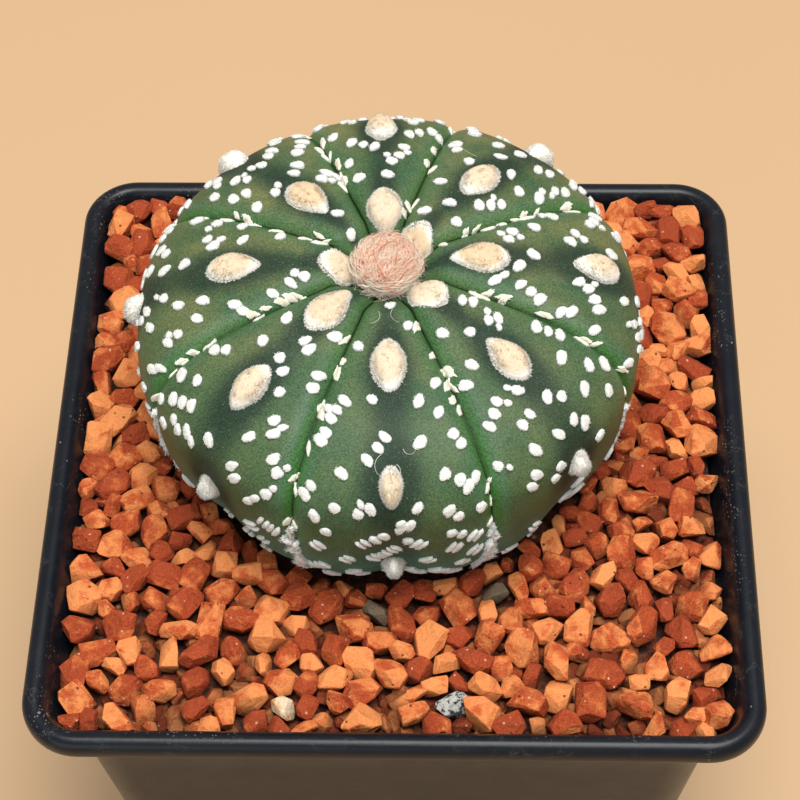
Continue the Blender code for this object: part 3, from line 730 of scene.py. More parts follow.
@dataclass
class SquarePot:
    """Thin tapered square pot under a rolled lip; lip points are (inset, drop), in mm."""

    height: float = 80.0 * MM
    lip_half: float = 45.0 * MM
    lip_corner: float = 7.2 * MM
    lip_section: tuple[Span, ...] = (
        (3.9, 4.2), (3.35, 2.4), (3.0, 1.3), (2.6, 0.55), (2.1, 0.12), (1.6, 0.0), (1.1, 0.0), (0.4, 0.35),
        (0.0, 1.1), (0.0, 2.4), (0.25, 3.0), (1.0, 3.0), (1.1, 1.3), (1.9, 1.25), (2.35, 2.4), (2.9, 4.2),
    )
    lip_inner_points: int = 2
    collar_drop: float = 8.0 * MM
    wall_half: float = 41.3 * MM
    taper: float = 0.105
    thick: float = 1.0 * MM
    wall_corner: float = 6.2 * MM
    floor_top: float = 3.4 * MM
    floor_under: float = 2.2 * MM
    fillet: float = 1.2 * MM
    foot: float = 1.6 * MM
    chamfer: float = 0.5 * MM
    drain_radius: float = 4.0 * MM
    drain_spread: float = 18.0 * MM
    notch_inset: float = 10.0 * MM
    notch_width: float = 9.0 * MM
    notch_height: float = 1.5 * MM
    corner_steps: int = 14
    wall_rows: int = 10
    hole_sides: int = 40
    sharp_from: float = math.radians(40.0)

    def wall(self, height: float, inset: float = 0.0) -> tuple[float, float, float]:
        """Half width, corner radius and height of a ring inside the outer wall."""
        half = self.wall_half - self.taper * (self.height - height) - inset
        return half, self.wall_corner - inset, height

    def inner(self, height: float, inset: float = 0.0) -> tuple[float, float, float]:
        """Half width, corner radius and height of a ring inside the flared collar.

        Args:
            height: Height of the ring.
            inset: Its distance from the inner face.

        Returns:
            The three.
        """
        lip = self.lip_section[: self.lip_inner_points]
        upper = [(self.lip_half - i * MM, self.lip_corner - i * MM, self.height - d * MM) for i, d in lip]
        rows = np.array([self.wall(self.height - self.collar_drop, self.thick), *upper])
        half, corner = (np.interp(height, rows[:, 2], rows[:, k]) for k in (0, 1))
        return half - inset, corner - inset, height

    def inside(self, points: Array, inset: float) -> Array:
        """Points moved in to the inner face, straight or towards the middle of a corner's arc.

        Args:
            points: Points, with 3 as the last axis.
            inset: Least distance from the inner face.

        Returns:
            The points, at the same heights.
        """
        half, corner, height = (value[..., None] for value in self.inner(points[..., 2], inset))
        return np.concatenate([rounded(points[..., :2], half, corner), height], axis=-1)

    def ring(self, rows: Array) -> Array:
        """Squares with round corners: each corner's arc about the middle of its circle.

        Args:
            rows: Half width, corner radius and height of each square.

        Returns:
            Points, as squares by points around by 3, counterclockwise.
        """
        step = np.arange(self.corner_steps + 1) / self.corner_steps
        angle = (0.5 * math.pi * (np.arange(4)[:, None] + step)).ravel()
        middle = np.repeat(0.5 * math.pi * np.arange(4) + 0.25 * math.pi, self.corner_steps + 1)
        sign = np.sign(np.stack([np.cos(middle), np.sin(middle)], axis=-1))
        arc = np.stack([np.cos(angle), np.sin(angle)], axis=-1)
        half, corner, height = (rows[:, None, k, None] for k in range(3))
        flat = sign * (half - corner) + corner * arc
        return np.concatenate([flat, np.broadcast_to(height, flat[..., :1].shape)], axis=-1)

    def section(self) -> Array:
        """Rows of the whole wall, from the inside of the floor over the lip to the foot.

        Returns:
            Half width, corner radius and height of each row.
        """
        line = np.array(self.lip_section) * MM
        for _ in range(2):
            cut = np.stack([0.75 * line[:-1] + 0.25 * line[1:], 0.25 * line[:-1] + 0.75 * line[1:]], 1)
            line = np.vstack([line[:1], cut.reshape(-1, 2), line[-1:]])
        turn = [(1.0 - math.sin(a), 1.0 - math.cos(a)) for a in 0.5 * math.pi * np.linspace(0.0, 1.0, 5)]
        low, neck = self.floor_top, self.height - self.collar_drop
        return np.array([
            *[self.wall(low + self.fillet * c, self.thick + self.fillet * s) for s, c in turn],
            *[self.wall(z, self.thick) for z in np.linspace(low + self.fillet, neck, self.wall_rows)[1:]],
            *[(self.lip_half - i, self.lip_corner - i, self.height - d) for i, d in line],
            *[self.wall(z) for z in np.linspace(neck, self.chamfer, self.wall_rows)],
            *[self.wall(self.chamfer * s, self.chamfer * c) for s, c in turn[1:]],
            self.wall(0.0, self.foot),
            self.wall(self.floor_under, self.foot + GAP),
        ])

    def drill(self) -> Piece:
        """Shafts of the drain holes and bars of the notches in the foot, to be cut away.

        Returns:
            Their object.
        """
        bm = bmesh.new()
        for x, y in ((0, 0), (-1, -1), (-1, 1), (1, -1), (1, 1)):
            spot = (x * self.drain_spread, y * self.drain_spread, self.floor_top)
            bmesh.ops.create_cone(
                bm,
                segments=self.hole_sides,
                cap_ends=True,
                radius1=self.drain_radius,
                radius2=self.drain_radius,
                depth=4.0 * self.floor_top,
                matrix=Matrix.Translation(spot),
            )
        out = self.lip_half - self.notch_inset
        long, width, tall = 0.6 * out, self.notch_width, 2.0 * self.notch_height
        for x, y in ((1, 0), (-1, 0), (0, 1), (0, -1)):
            scale = Matrix.Diagonal((long if x else width, long if y else width, tall, 1.0))
            bmesh.ops.create_cube(bm, size=1.0, matrix=Matrix.Translation((x * out, y * out, 0.0)) @ scale)
        mesh = bpy.data.meshes.new("drill")
        bm.to_mesh(mesh)
        bm.free()
        return link("drill", mesh)

    def build(self) -> Piece:
        """The pot: its section carried round the square, then drilled and notched.

        Returns:
            The piece.
        """
        points = self.ring(self.section())
        rows, around = points.shape[:2]
        first = np.arange(around)[None]
        last = (rows - 1) * around + first[:, ::-1]
        piece = Form(points.reshape(-1, 3), [grid_faces(rows, around), first, last]).make("pot_shell")
        drill = self.drill()
        cut = piece.modifiers.new("Openings", "BOOLEAN")
        cut.object, cut.solver = drill, "EXACT"
        graph = bpy.context.evaluated_depsgraph_get()
        piece.data = bpy.data.meshes.new_from_object(piece.evaluated_get(graph))
        piece.modifiers.clear()
        bpy.data.objects.remove(drill)
        piece.data.shade_smooth()
        piece.data.set_sharp_from_angle(angle=self.sharp_from)
        piece.data.materials.append(PlasticFinish().material())
        return piece


# The stem


@dataclass
class StemOutline:
    """Turned outline of the stem: quarter superellipses that meet at the equator."""

    radius: float = 31.9 * MM
    equator: float = 94.5 * MM
    up: float = 12.1 * MM
    down: float = 29.8 * MM
    upper_power: float = 2.75
    lower_power: float = 2.1
    pit: float = 2.4 * MM
    pit_flat: float = 3.6 * MM
    pit_edge: float = 8.0 * MM
    ground: float = 78.0 * MM
    samples: int = 900

    def table(self) -> tuple[Array, Array, Array]:
        """Arc, radius and height from the crown to the bottom, at even steps of arc.

        Returns:
            The three, as arrays.
        """
        upper = 0.5 * math.pi * np.linspace(0.0, 1.0, self.samples) ** 2
        lower = 0.5 * math.pi * np.linspace(0.0, 1.0, self.samples)[1:]
        high, low = 2.0 / self.upper_power, 2.0 / self.lower_power
        radius = self.radius * np.r_[np.sin(upper) ** high, np.clip(np.cos(lower), 0.0, 1.0) ** low]
        height = np.r_[self.up * np.clip(np.cos(upper), 0.0, 1.0) ** high, -self.down * np.sin(lower) ** low]
        height = self.equator + height
        dimple = self.pit * (1.0 - smoothstep(self.pit_flat, self.pit_edge, radius))
        height = np.where(height > self.equator, height - dimple, height)
        arc = np.r_[0.0, np.cumsum(np.hypot(np.diff(radius), np.diff(height)))]
        even = np.linspace(0.0, arc[-1], self.samples)
        return even, np.interp(even, arc, radius), np.interp(even, arc, height)


@dataclass
class Stem:
    """The ribbed stem: its outline with furrows pressed in, and the places of what grows on it."""

    x: float = -1.2 * MM
    y: float = 7.2 * MM
    lean: float = 0.9 * MM
    outline: StemOutline = field(default_factory=StemOutline)
    furrow_degrees: tuple[float, ...] = (-65.1, -19.6, 28.6, 73.9, 112.3, 154.7, 205.0, 249.5)
    crease_depth: float = 1.7 * MM
    crease_easing: float = 0.8 * MM
    crease_width: float = 3.0 * MM
    crease_share: float = 0.6
    crease_full_radius: float = 9.0 * MM
    low_dent: float = 1.15 * MM
    low_dent_span: float = 0.4
    low_start: float = 9.0 * MM
    low_end: float = 10.0 * MM
    root_top: float = 5.0 * MM
    root_waist: float = 2.4 * MM
    root_tip: float = 1.0 * MM
    root_tip_z: float = 34.0 * MM
    root_sink: float = 5.0 * MM
    root_steps: int = 16
    areole_arcs: tuple[tuple[float, ...], ...] = (
        (6.8, 20.8, 37.5), (12.2, 27.1, 43.0), (5.0, 19.1, 33.5, 49.5), (9.2, 26.0, 42.0),
        (15.4, 32.0, 48.0), (5.4, 19.7, 35.5, 51.5), (10.6, 24.3, 40.5), (16.0, 30.9, 47.5),
    )
    areole_inner: float = 4.5 * MM
    areole_ages: Span = (11.0 * MM, 40.0 * MM)
    areole_half_length: Span = (3.7 * MM, 2.6 * MM)
    areole_half_width: Span = (2.2 * MM, 1.7 * MM)
    areole_height: Span = (1.2 * MM, 2.0 * MM)
    areole_point: Span = (0.42, 0.08)
    halo_reach: Span = (2.1, 1.7)
    furrow_glow: float = 2.6 * MM
    crest_share: float = 0.38
    low_arcs: Span = (40.0 * MM, 50.0 * MM)
    outer_arcs: Span = (20.0 * MM, 40.0 * MM)
    far_from_furrow: float = 9.0
    probe: float = 0.4 * MM
    columns_per_rib: int = 38
    open_rings: int = 150
    buried_rings: int = 14

    def __post_init__(self) -> None:
        """Works out the outline's table, the ribs and where the gravel meets the skin."""
        self.arc, self.arc_radius, self.arc_height = self.outline.table()
        self.furrows = np.radians(self.furrow_degrees)
        self.ribs = len(self.furrows)
        self.ends = np.r_[self.furrows, self.furrows[0] + TAU]
        self.crest = 0.5 * (self.ends[:-1] + self.ends[1:])
        self.ground_arc = self.arc[np.nonzero(self.arc_height > self.outline.ground)[0][-1]]
        self.ground_radius = self.radius_at(self.ground_arc)

    def radius_at(self, arc: Array) -> Array:
        """Radius of the outline at an arc."""
        return np.interp(arc, self.arc, self.arc_radius)

    def height_at(self, arc: Array) -> Array:
        """Height of the outline at an arc."""
        return np.interp(arc, self.arc, self.arc_height)

    def rib_place(self, azimuth: Array) -> tuple[Array, Array]:
        """Place across its rib, -1 and 1 in the furrows and 0 on the crest, and half its angle.

        Args:
            azimuth: Azimuths.

        Returns:
            Both, for each azimuth.
        """
        turned = np.mod(azimuth - self.ends[0], TAU) + self.ends[0]
        rib = np.clip(np.searchsorted(self.ends, turned, side="right") - 1, 0, self.ribs - 1)
        half = 0.5 * (self.ends[rib + 1] - self.ends[rib])
        return (turned - self.ends[rib]) / half - 1.0, half

    def skin(self, azimuth: Array, arc: Array) -> Array:
        """Points on the skin: the outline pushed inward by a quarter circle beside each furrow,
        and by a bell curve across each crest low down.

        Args:
            azimuth: Azimuths.
            arc: Arcs.

        Returns:
            Points, with 3 as the last axis.
        """
        azimuth, arc = np.broadcast_arrays(np.asarray(azimuth, float), np.asarray(arc, float))
        radius, height, step = self.radius_at(arc), self.height_at(arc), self.probe
        slope_r = self.radius_at(arc + step) - self.radius_at(arc - step)
        slope_z = self.height_at(arc + step) - self.height_at(arc - step)
        slope = np.hypot(slope_r, slope_z)
        place, half = self.rib_place(azimuth)
        width = half * radius
        reach = np.minimum(self.crease_width, self.crease_share * width)
        nearness = np.clip((1.0 - np.abs(place)) * width / np.maximum(reach, TINY), 0.0, 1.0)
        crease = 1.0 - np.sqrt(np.clip(1.0 - (1.0 - nearness) ** 2, 0.0, 1.0))
        equator = self.outline.equator
        low = 1.0 - smoothstep(equator - self.low_end, equator + self.low_start, height)
        depth = self.crease_depth - self.crease_easing * low
        depth = depth * np.clip(radius / self.crease_full_radius, 0.0, 1.0)
        inward = depth * crease + self.low_dent * low * np.exp(-((place / self.low_dent_span) ** 2))
        inward = inward * np.clip(radius / self.outline.pit_flat, 0.0, 1.0)
        away = radius + inward * slope_z / slope
        lean = self.lean * (1.0 - (radius / self.outline.radius) ** 2) * (height > equator)
        x, y = self.x + away * np.cos(azimuth), self.y + lean + away * np.sin(azimuth)
        return np.stack([x, y, height - inward * slope_r / slope], axis=-1)

    def axes(self, azimuth: Array, arc: Array) -> tuple[Array, Array, Array]:
        """Directions at places on the skin: across the rib (clockwise), down it, and out.

        Args:
            azimuth: Azimuths.
            arc: Arcs.

        Returns:
            The three unit vectors at each place.
        """
        step = self.probe
        turn = step / np.maximum(self.radius_at(arc), step)
        across = unit(self.skin(azimuth - turn, arc) - self.skin(azimuth + turn, arc))
        down = unit(self.skin(azimuth, arc + step) - self.skin(azimuth, arc - step))
        out = unit(np.cross(across, down))
        return across, np.cross(out, across), out

    def draped(self, azimuth: Array, arc: Array, across: Array, down: Array, lift: Array) -> Array:
        """Points at small distances across and down from places on the skin, lifted off it.

        Args:
            azimuth: Azimuth of each place.
            arc: Arc of each place.
            across: Distance across the rib, clockwise.
            down: Distance down it.
            lift: Height over the skin.

        Returns:
            Points, with 3 as the last axis.
        """
        here = arc + down
        there = azimuth - across / np.maximum(self.radius_at(arc), self.probe)
        return self.skin(there, here) + self.axes(there, here)[2] * lift[..., None]

    def areole_sites(self, nearest: float | None = None) -> Array:
        """Every areole, crest by crest; the first ones are cut short by the bud.

        Args:
            nearest: Arc where they are cut, if not beside the bud.

        Returns:
            Azimuth, arc, half length, half width, height and point of each.
        """
        sizes = (self.areole_half_length, self.areole_half_width, self.areole_height, self.areole_point)
        near = self.areole_inner if nearest is None else nearest
        sites = []
        for rib, arcs in enumerate(self.areole_arcs):
            for arc in np.array(arcs) * MM:
                length, width, height, point = (np.interp(arc, self.areole_ages, ends) for ends in sizes)
                inner, outer = max(arc - length, near), arc + length
                middle, half = 0.5 * (inner + outer), 0.5 * (outer - inner)
                sites.append((self.crest[rib], middle, half, width, height, point))
        return np.array(sites)

    def values(self, azimuth: Array, arc: Array) -> dict[str, Array]:
        """Named values of the skin, which its finish reads.

        Args:
            azimuth: Azimuths.
            arc: Arcs.

        Returns:
            Distance from the furrow in mm, and shares from 0 to 1: near the furrow, on the
            crest, round a pad, low down, and on the outer flank.
        """
        place, half = self.rib_place(azimuth)
        radius = self.radius_at(arc)
        from_furrow = (1.0 - np.abs(place)) * half * radius
        sites = self.areole_sites()
        apart = (azimuth[:, None] - sites[None, :, 0] + math.pi) % TAU - math.pi
        across = apart * radius[:, None] / (self.halo_reach[0] * sites[None, :, 3])
        down = (arc[:, None] - sites[None, :, 1]) / (self.halo_reach[1] * sites[None, :, 2])
        return {
            "furrow": np.exp(-((from_furrow / self.furrow_glow) ** 2)),
            "crest": np.exp(-((place / self.crest_share) ** 2)),
            "halo": np.exp(-(across**2 + down**2)).max(axis=1),
            "outer": smoothstep(*self.outer_arcs, arc),
            "low": smoothstep(*self.low_arcs, arc),
            "across": from_furrow / MM,
        }

    def build(self) -> Piece:
        """The skin on a grid of azimuth by arc, closed at both poles, and the root under it.

        Returns:
            The piece.
        """
        even = np.linspace(-1.0, 1.0, self.columns_per_rib, endpoint=False)
        place = 0.7 * np.sin(0.5 * math.pi * even) + 0.3 * even
        wide = self.ends[1:] - self.ends[:-1]
        azimuth = (self.ends[:-1, None] + 0.5 * (place + 1.0) * wide[:, None]).ravel()
        end = self.ground_arc + 2.0 * MM
        rings = np.r_[
            np.linspace(0.0, end, self.open_rings + 1)[1:],
            np.linspace(end, self.arc[-1], self.buried_rings + 2)[1:-1],
        ]
        turn, depth = np.meshgrid(azimuth, rings)
        turn, depth = np.r_[0.0, turn.ravel(), 0.0], np.r_[0.0, depth.ravel(), self.arc[-1]]
        points = self.skin(turn, depth)
        around, last = len(azimuth), len(points) - 1
        top, grid, _ = pad_faces(1, len(rings), around)
        j = last - around + np.arange(around)
        bottom = np.stack([np.full(around, last), np.roll(j, -1), j], axis=-1)
        skin, root = Form(points, [grid, top, bottom], self.values(turn, depth)), self.root()
        plain = {"low": 1.0, "across": self.far_from_furrow}
        root.values = {name: np.full(len(root.points), plain.get(name, 0.0)) for name in skin.values}
        return Form.joined([skin, root]).make("stem_skin", SkinFinish().material())

    def root(self) -> Form:
        """Tapering root that starts inside the stem's bottom.

        Returns:
            The root.
        """
        bottom, steps = self.arc_height[-1], self.root_steps
        knots = [self.root_tip_z, 0.5 * (bottom + self.root_tip_z), bottom, bottom + self.root_sink]
        heights = np.linspace(knots[-1], self.root_tip_z, steps)
        radii = np.interp(heights, knots, [self.root_tip, self.root_waist, self.root_top, self.root_top])
        path = np.stack([np.full(steps, self.x), np.full(steps, self.y), heights], axis=-1)
        return strands(path[None], radii[None], steps)


# Growths on the skin


@dataclass
class AreoleWool:
    """Woolly pads along the crests: velvet cushions with a dense edge of very short hairs.

    low_cut is what the length, width and height of the low pads lose, and slimmer gives shares of
    the three to single pads. Lengths and thicknesses of the hairs are in mm.
    """

    stem: Stem
    sink: float = 0.7 * MM
    taper: float = 0.15
    flatness: float = 3.2
    rings: int = 13
    around: int = 44
    ragged_waves: tuple[tuple[float, float], ...] = ((2.0, 0.045), (3.0, 0.03), (7.0, 0.018))
    ragged: float = 0.012
    fringe: int = 1400
    fuzz: int = 1300
    fringe_reach: Span = (0.86, 1.0)
    fuzz_reach: Span = (0.0, 0.92)
    fuzz_lean: float = 0.7
    scatter: float = 0.22
    shortest: float = 0.10
    fringe_longer: float = 0.34
    fuzz_longer: float = 0.16
    low_longer: float = 0.26
    hair_thick: Span = (0.038, 0.066)
    edge_power: float = 3.2
    end_share: float = 0.5
    paler: float = 0.75
    pale_arcs: Span = (23.0 * MM, 34.5 * MM)
    longer_arcs: Span = (29.9 * MM, 36.8 * MM)
    cut_arcs: Span = (33.35 * MM, 37.95 * MM)
    front_width: float = 0.3
    front_end: float = 39.1 * MM
    front_share: float = 0.8
    points: Span = (0.6, 1.35)
    low_cut: tuple[float, float, float] = (0.28, 0.34, 0.10)
    slimmer: tuple[tuple[int, float, float, float], ...] = ((-2, 0.82, 0.7, 1.0), (-1, 0.72, 0.74, 0.95))
    under_bud: float = 1.5 * MM
    low_by_bud: float = 5.0 * MM
    seed: int = 21

    def plan(self, sites: Array, angle: Array) -> tuple[Array, Array]:
        """Outline of each pad: an oval, broader at one end, drawn in towards both by its point.

        Args:
            sites: The pads, with their taper.
            angle: Angles round each pad.

        Returns:
            Distances across and down at each angle.
        """
        long, wide, point, taper = (sites[:, k, None] for k in (2, 3, 5, 6))
        rise = np.sin(angle)
        across = np.cos(angle) * (1.0 + taper * rise) * (1.0 - point * rise**2)
        return wide * across, long * rise

    def dome(self, out: Array, height: Array) -> Array:
        """Height over the skin at a share of the way to the rim: a cushion with steep sides."""
        return (height + self.sink) * np.sqrt(np.clip(1.0 - out**self.flatness, 0.0, 1.0)) - self.sink

    def edge(self, sites: Array, out: Array, down: Array, most: float) -> Array:
        """Share of the rim's colour: high at the rim and both ends, and on pads low on the plant,
        save in front.

        Args:
            sites: The pads.
            out: Share of the way to the rim.
            down: Distance down from the middle.
            most: The share that the rim alone gives.

        Returns:
            The share at each place.
        """
        arc, turn = sites[:, 1, None], sites[:, :1] - self.stem.crest[-1]
        front = np.exp(-((turn / self.front_width) ** 2)) * (arc < self.front_end)
        paler = self.paler * smoothstep(*self.pale_arcs, arc) * (1.0 - self.front_share * front)
        ends = self.end_share * (np.abs(down) / sites[:, 2, None]) ** 3
        return np.clip(out**self.edge_power * most + ends + paler, 0.0, 1.0)

    def pads(self, sites: Array, draw: Random) -> Form:
        """Cushions on ragged outlines, sunk into the skin, with slight lumps.

        Args:
            sites: The pads.
            draw: Random numbers.

        Returns:
            The pads.
        """
        count = len(sites)
        angle = TAU * np.arange(self.around) / self.around
        share = (np.arange(self.rings) + 1.0) / self.rings
        phase = draw.uniform(0.0, TAU, (count, 3, 1))
        ragged = 1.0
        for k, (waves, size) in enumerate(self.ragged_waves):
            ragged = ragged + size * np.sin(waves * angle + phase[:, k])
        ragged = ragged + draw.normal(0.0, self.ragged, (count, self.around))
        sides = self.plan(sites, np.broadcast_to(angle, ragged.shape))
        across, down = (on_rings(side * ragged, share) for side in sides)
        out = np.r_[0.0, np.repeat(share, self.around)][None]
        lift = self.dome(out, sites[:, 4, None])
        azimuth, arc = sites[:, :1], sites[:, 1:2]
        points = self.stem.draped(azimuth, arc, across, down, lift)
        lumps = ripple(points, 1.3 * MM, self.seed) * 0.09 * MM + ripple(points, 0.5 * MM, 3) * 0.04 * MM
        points = points + self.stem.axes(azimuth, arc)[2] * (lumps * (lift > 0.0))[..., None]
        edge = self.edge(sites, out, down, 0.9).ravel()
        own = np.repeat(draw.uniform(0.0, 1.0, count), points.shape[1])
        faces = pad_faces(count, self.rings, self.around)
        return Form(points.reshape(-1, 3), faces, {"edge": edge, "own": own})

    def hairs(self, sites: Array, own: Array, draw: Random, rim: bool) -> Form:
        """Very short hairs: a dense edge that leans out over the rim, or pile on the cushion.

        Args:
            sites: The pads.
            own: Colour factor of each pad.
            draw: Random numbers.
            rim: Whether they are those of the edge.

        Returns:
            The hairs.
        """
        angle = draw.uniform(0.0, TAU, (len(sites), self.fringe if rim else self.fuzz))
        out = np.sqrt(draw.uniform(*self.fuzz_reach, angle.shape))
        if rim:
            out = draw.uniform(*self.fringe_reach, angle.shape)
        across, down = (out * side for side in self.plan(sites, angle))
        height = self.dome(out, sites[:, 4, None])
        height = np.where(rim, height * draw.uniform(0.2, 1.0, angle.shape), height)
        azimuth, arc = sites[:, :1], sites[:, 1:2]
        base = self.stem.draped(azimuth, arc, across, down, np.maximum(height - 0.06 * MM, 0.02 * MM))
        beside, below, above = self.stem.axes(azimuth, arc)
        lean = np.where(rim, 1.0, self.fuzz_lean * out)[..., None]
        way = beside * (np.cos(angle)[..., None] * lean) + below * (np.sin(angle)[..., None] * lean)
        rise = np.where(rim, draw.uniform(0.0, 0.5, angle.shape), 1.0)[..., None]
        way = unit(way + above * rise + draw.normal(0.0, self.scatter, base.shape))
        longest = draw.uniform(0.0, 1.0, angle.shape) ** 1.6
        low = smoothstep(*self.longer_arcs, arc)
        longer = (self.fringe_longer if rim else self.fuzz_longer) + self.low_longer * low
        length = (self.shortest + longer * longest) * MM
        thick = draw.uniform(*self.hair_thick, angle.size) * MM
        edge = self.edge(sites, out, down, 0.8)
        edge = np.where(rim, np.clip(edge + 0.3, 0.72, 1.0), edge)
        return spikes(base, base + way * length[..., None], thick, edge, own)

    def build(self) -> list[Piece]:
        """All pads, and their hairs.

        Returns:
            The three pieces.
        """
        draw = np.random.default_rng(self.seed)
        sites = self.stem.areole_sites(self.under_bud)
        count = len(sites)
        smaller = smoothstep(*self.cut_arcs, sites[:-1, 1])
        sites[:-1, 2:5] *= 1.0 - smaller[:, None] * np.array(self.low_cut)
        for place, *shares in self.slimmer:
            sites[place, 2:5] *= shares
        sites[:, 5] *= draw.uniform(*self.points, count)
        sites[-1, 5] = 0.0
        sites[:, 4] *= 0.6 + 0.4 * smoothstep(self.low_by_bud, 2.0 * self.low_by_bud, sites[:, 1])
        sites = np.column_stack([sites, draw.choice([-1.0, 1.0], count) * self.taper])
        pads = self.pads(sites, draw)
        own = pads.values["own"].reshape(count, -1)[:, 0]
        fringe, pile = (self.hairs(sites, own, draw, rim) for rim in (True, False))
        finish = WoolFinish("areole wool").material()
        forms = {"areole_pads": pads, "areole_fringe": fringe, "areole_pile": pile}
        return [form.make(name, finish) for name, form in forms.items()]


@dataclass
class Felt:
    """Plates of felt on the skin, from ovals to lozenges, with a frayed rim."""

    stem: Stem
    around: int = 20
    hairs: int = 26
    ragged: float = 0.045
    power: Span = (1.75, 2.35)
    lobes: float = 0.06
    tall: Span = (0.75, 1.15)
    lumps: float = 0.02 * MM
    hair_root: float = 0.9
    hair_foot: Span = (0.3, 0.9)
    hair_rise: Span = (-0.2, 0.25)
    hair_scatter: float = 0.2
    hair_share: float = 0.1
    hair_length: Span = (0.03 * MM, 0.15 * MM)
    hair_thick: Span = (0.04 * MM, 0.07 * MM)
    shares: tuple[float, ...] = (0.5, 0.8, 0.95, 1.0)
    rises: tuple[float, ...] = (1.0, 0.97, 0.84, 0.55, -0.4)

    @staticmethod
    def turned(x: Array, y: Array, turn: Array) -> tuple[Array, Array]:
        """Distances across and down of places on plates that are turned."""
        return x * np.cos(turn) - y * np.sin(turn), x * np.sin(turn) + y * np.cos(turn)

    def form(self, tufts: Array, height: float, draw: Random) -> Form:
        """Flat plates with steep sides on outlines |x|^p + |y|^p = 1.

        Args:
            tufts: Azimuth, arc, turn, half length and half width of each.
            height: Height over the skin.
            draw: Random numbers.

        Returns:
            The plates and their hairs.
        """
        count = len(tufts)
        azimuth, arc, turn, long, wide = (tufts[:, k, None] for k in range(5))
        angle = TAU * (np.arange(self.around) + draw.uniform(-0.3, 0.3, (count, self.around))) / self.around
        power = draw.uniform(*self.power, (count, 1))
        swell = (np.abs(np.cos(angle)) ** power + np.abs(np.sin(angle)) ** power) ** (-1.0 / power)
        swell = swell * (1.0 + draw.normal(0.0, self.ragged, angle.shape))
        swell = swell * (1.0 + self.lobes * np.sin(3.0 * angle + draw.uniform(0.0, TAU, (count, 1))))
        share = np.array(self.shares)
        sides = (wide * swell * np.cos(angle), long * swell * np.sin(angle))
        across, down = self.turned(*(on_rings(side, share) for side in sides), turn)
        tall = height * draw.uniform(*self.tall, (count, 1))
        lift = tall * np.r_[self.rises[0], np.repeat(self.rises[1:], self.around)]
        lift = lift + draw.normal(0.0, self.lumps, lift.shape) * (lift > 0.0)
        points = self.stem.draped(azimuth, arc, across, down, lift)
        own = draw.uniform(0.0, 1.0, count)
        out = np.r_[0.0, np.repeat(share, self.around)]
        values = {"edge": np.tile(out, count), "own": np.repeat(own, len(out))}
        plates = Form(points.reshape(-1, 3), pad_faces(count, len(share), self.around), values)
        spin = draw.uniform(0.0, TAU, (count, self.hairs))
        root = self.hair_root
        across, down = self.turned(root * wide * np.cos(spin), root * long * np.sin(spin), turn)
        lift = tall * draw.uniform(*self.hair_foot, spin.shape)
        base = self.stem.draped(azimuth, arc, across, down, lift)
        beside, below, above = self.stem.axes(azimuth, arc)
        way = unit(beside * (across / wide)[..., None] + below * (down / long)[..., None])
        way = way + above * draw.uniform(*self.hair_rise, spin.shape)[..., None]
        way = unit(way + draw.normal(0.0, self.hair_scatter, way.shape))
        length = self.hair_share * wide[..., None] + draw.uniform(*self.hair_length, (*spin.shape, 1))
        thick = draw.uniform(*self.hair_thick, spin.size)
        fringe = spikes(base, base + way * length, thick, np.ones(spin.shape), own)
        return Form.joined([plates, fringe])


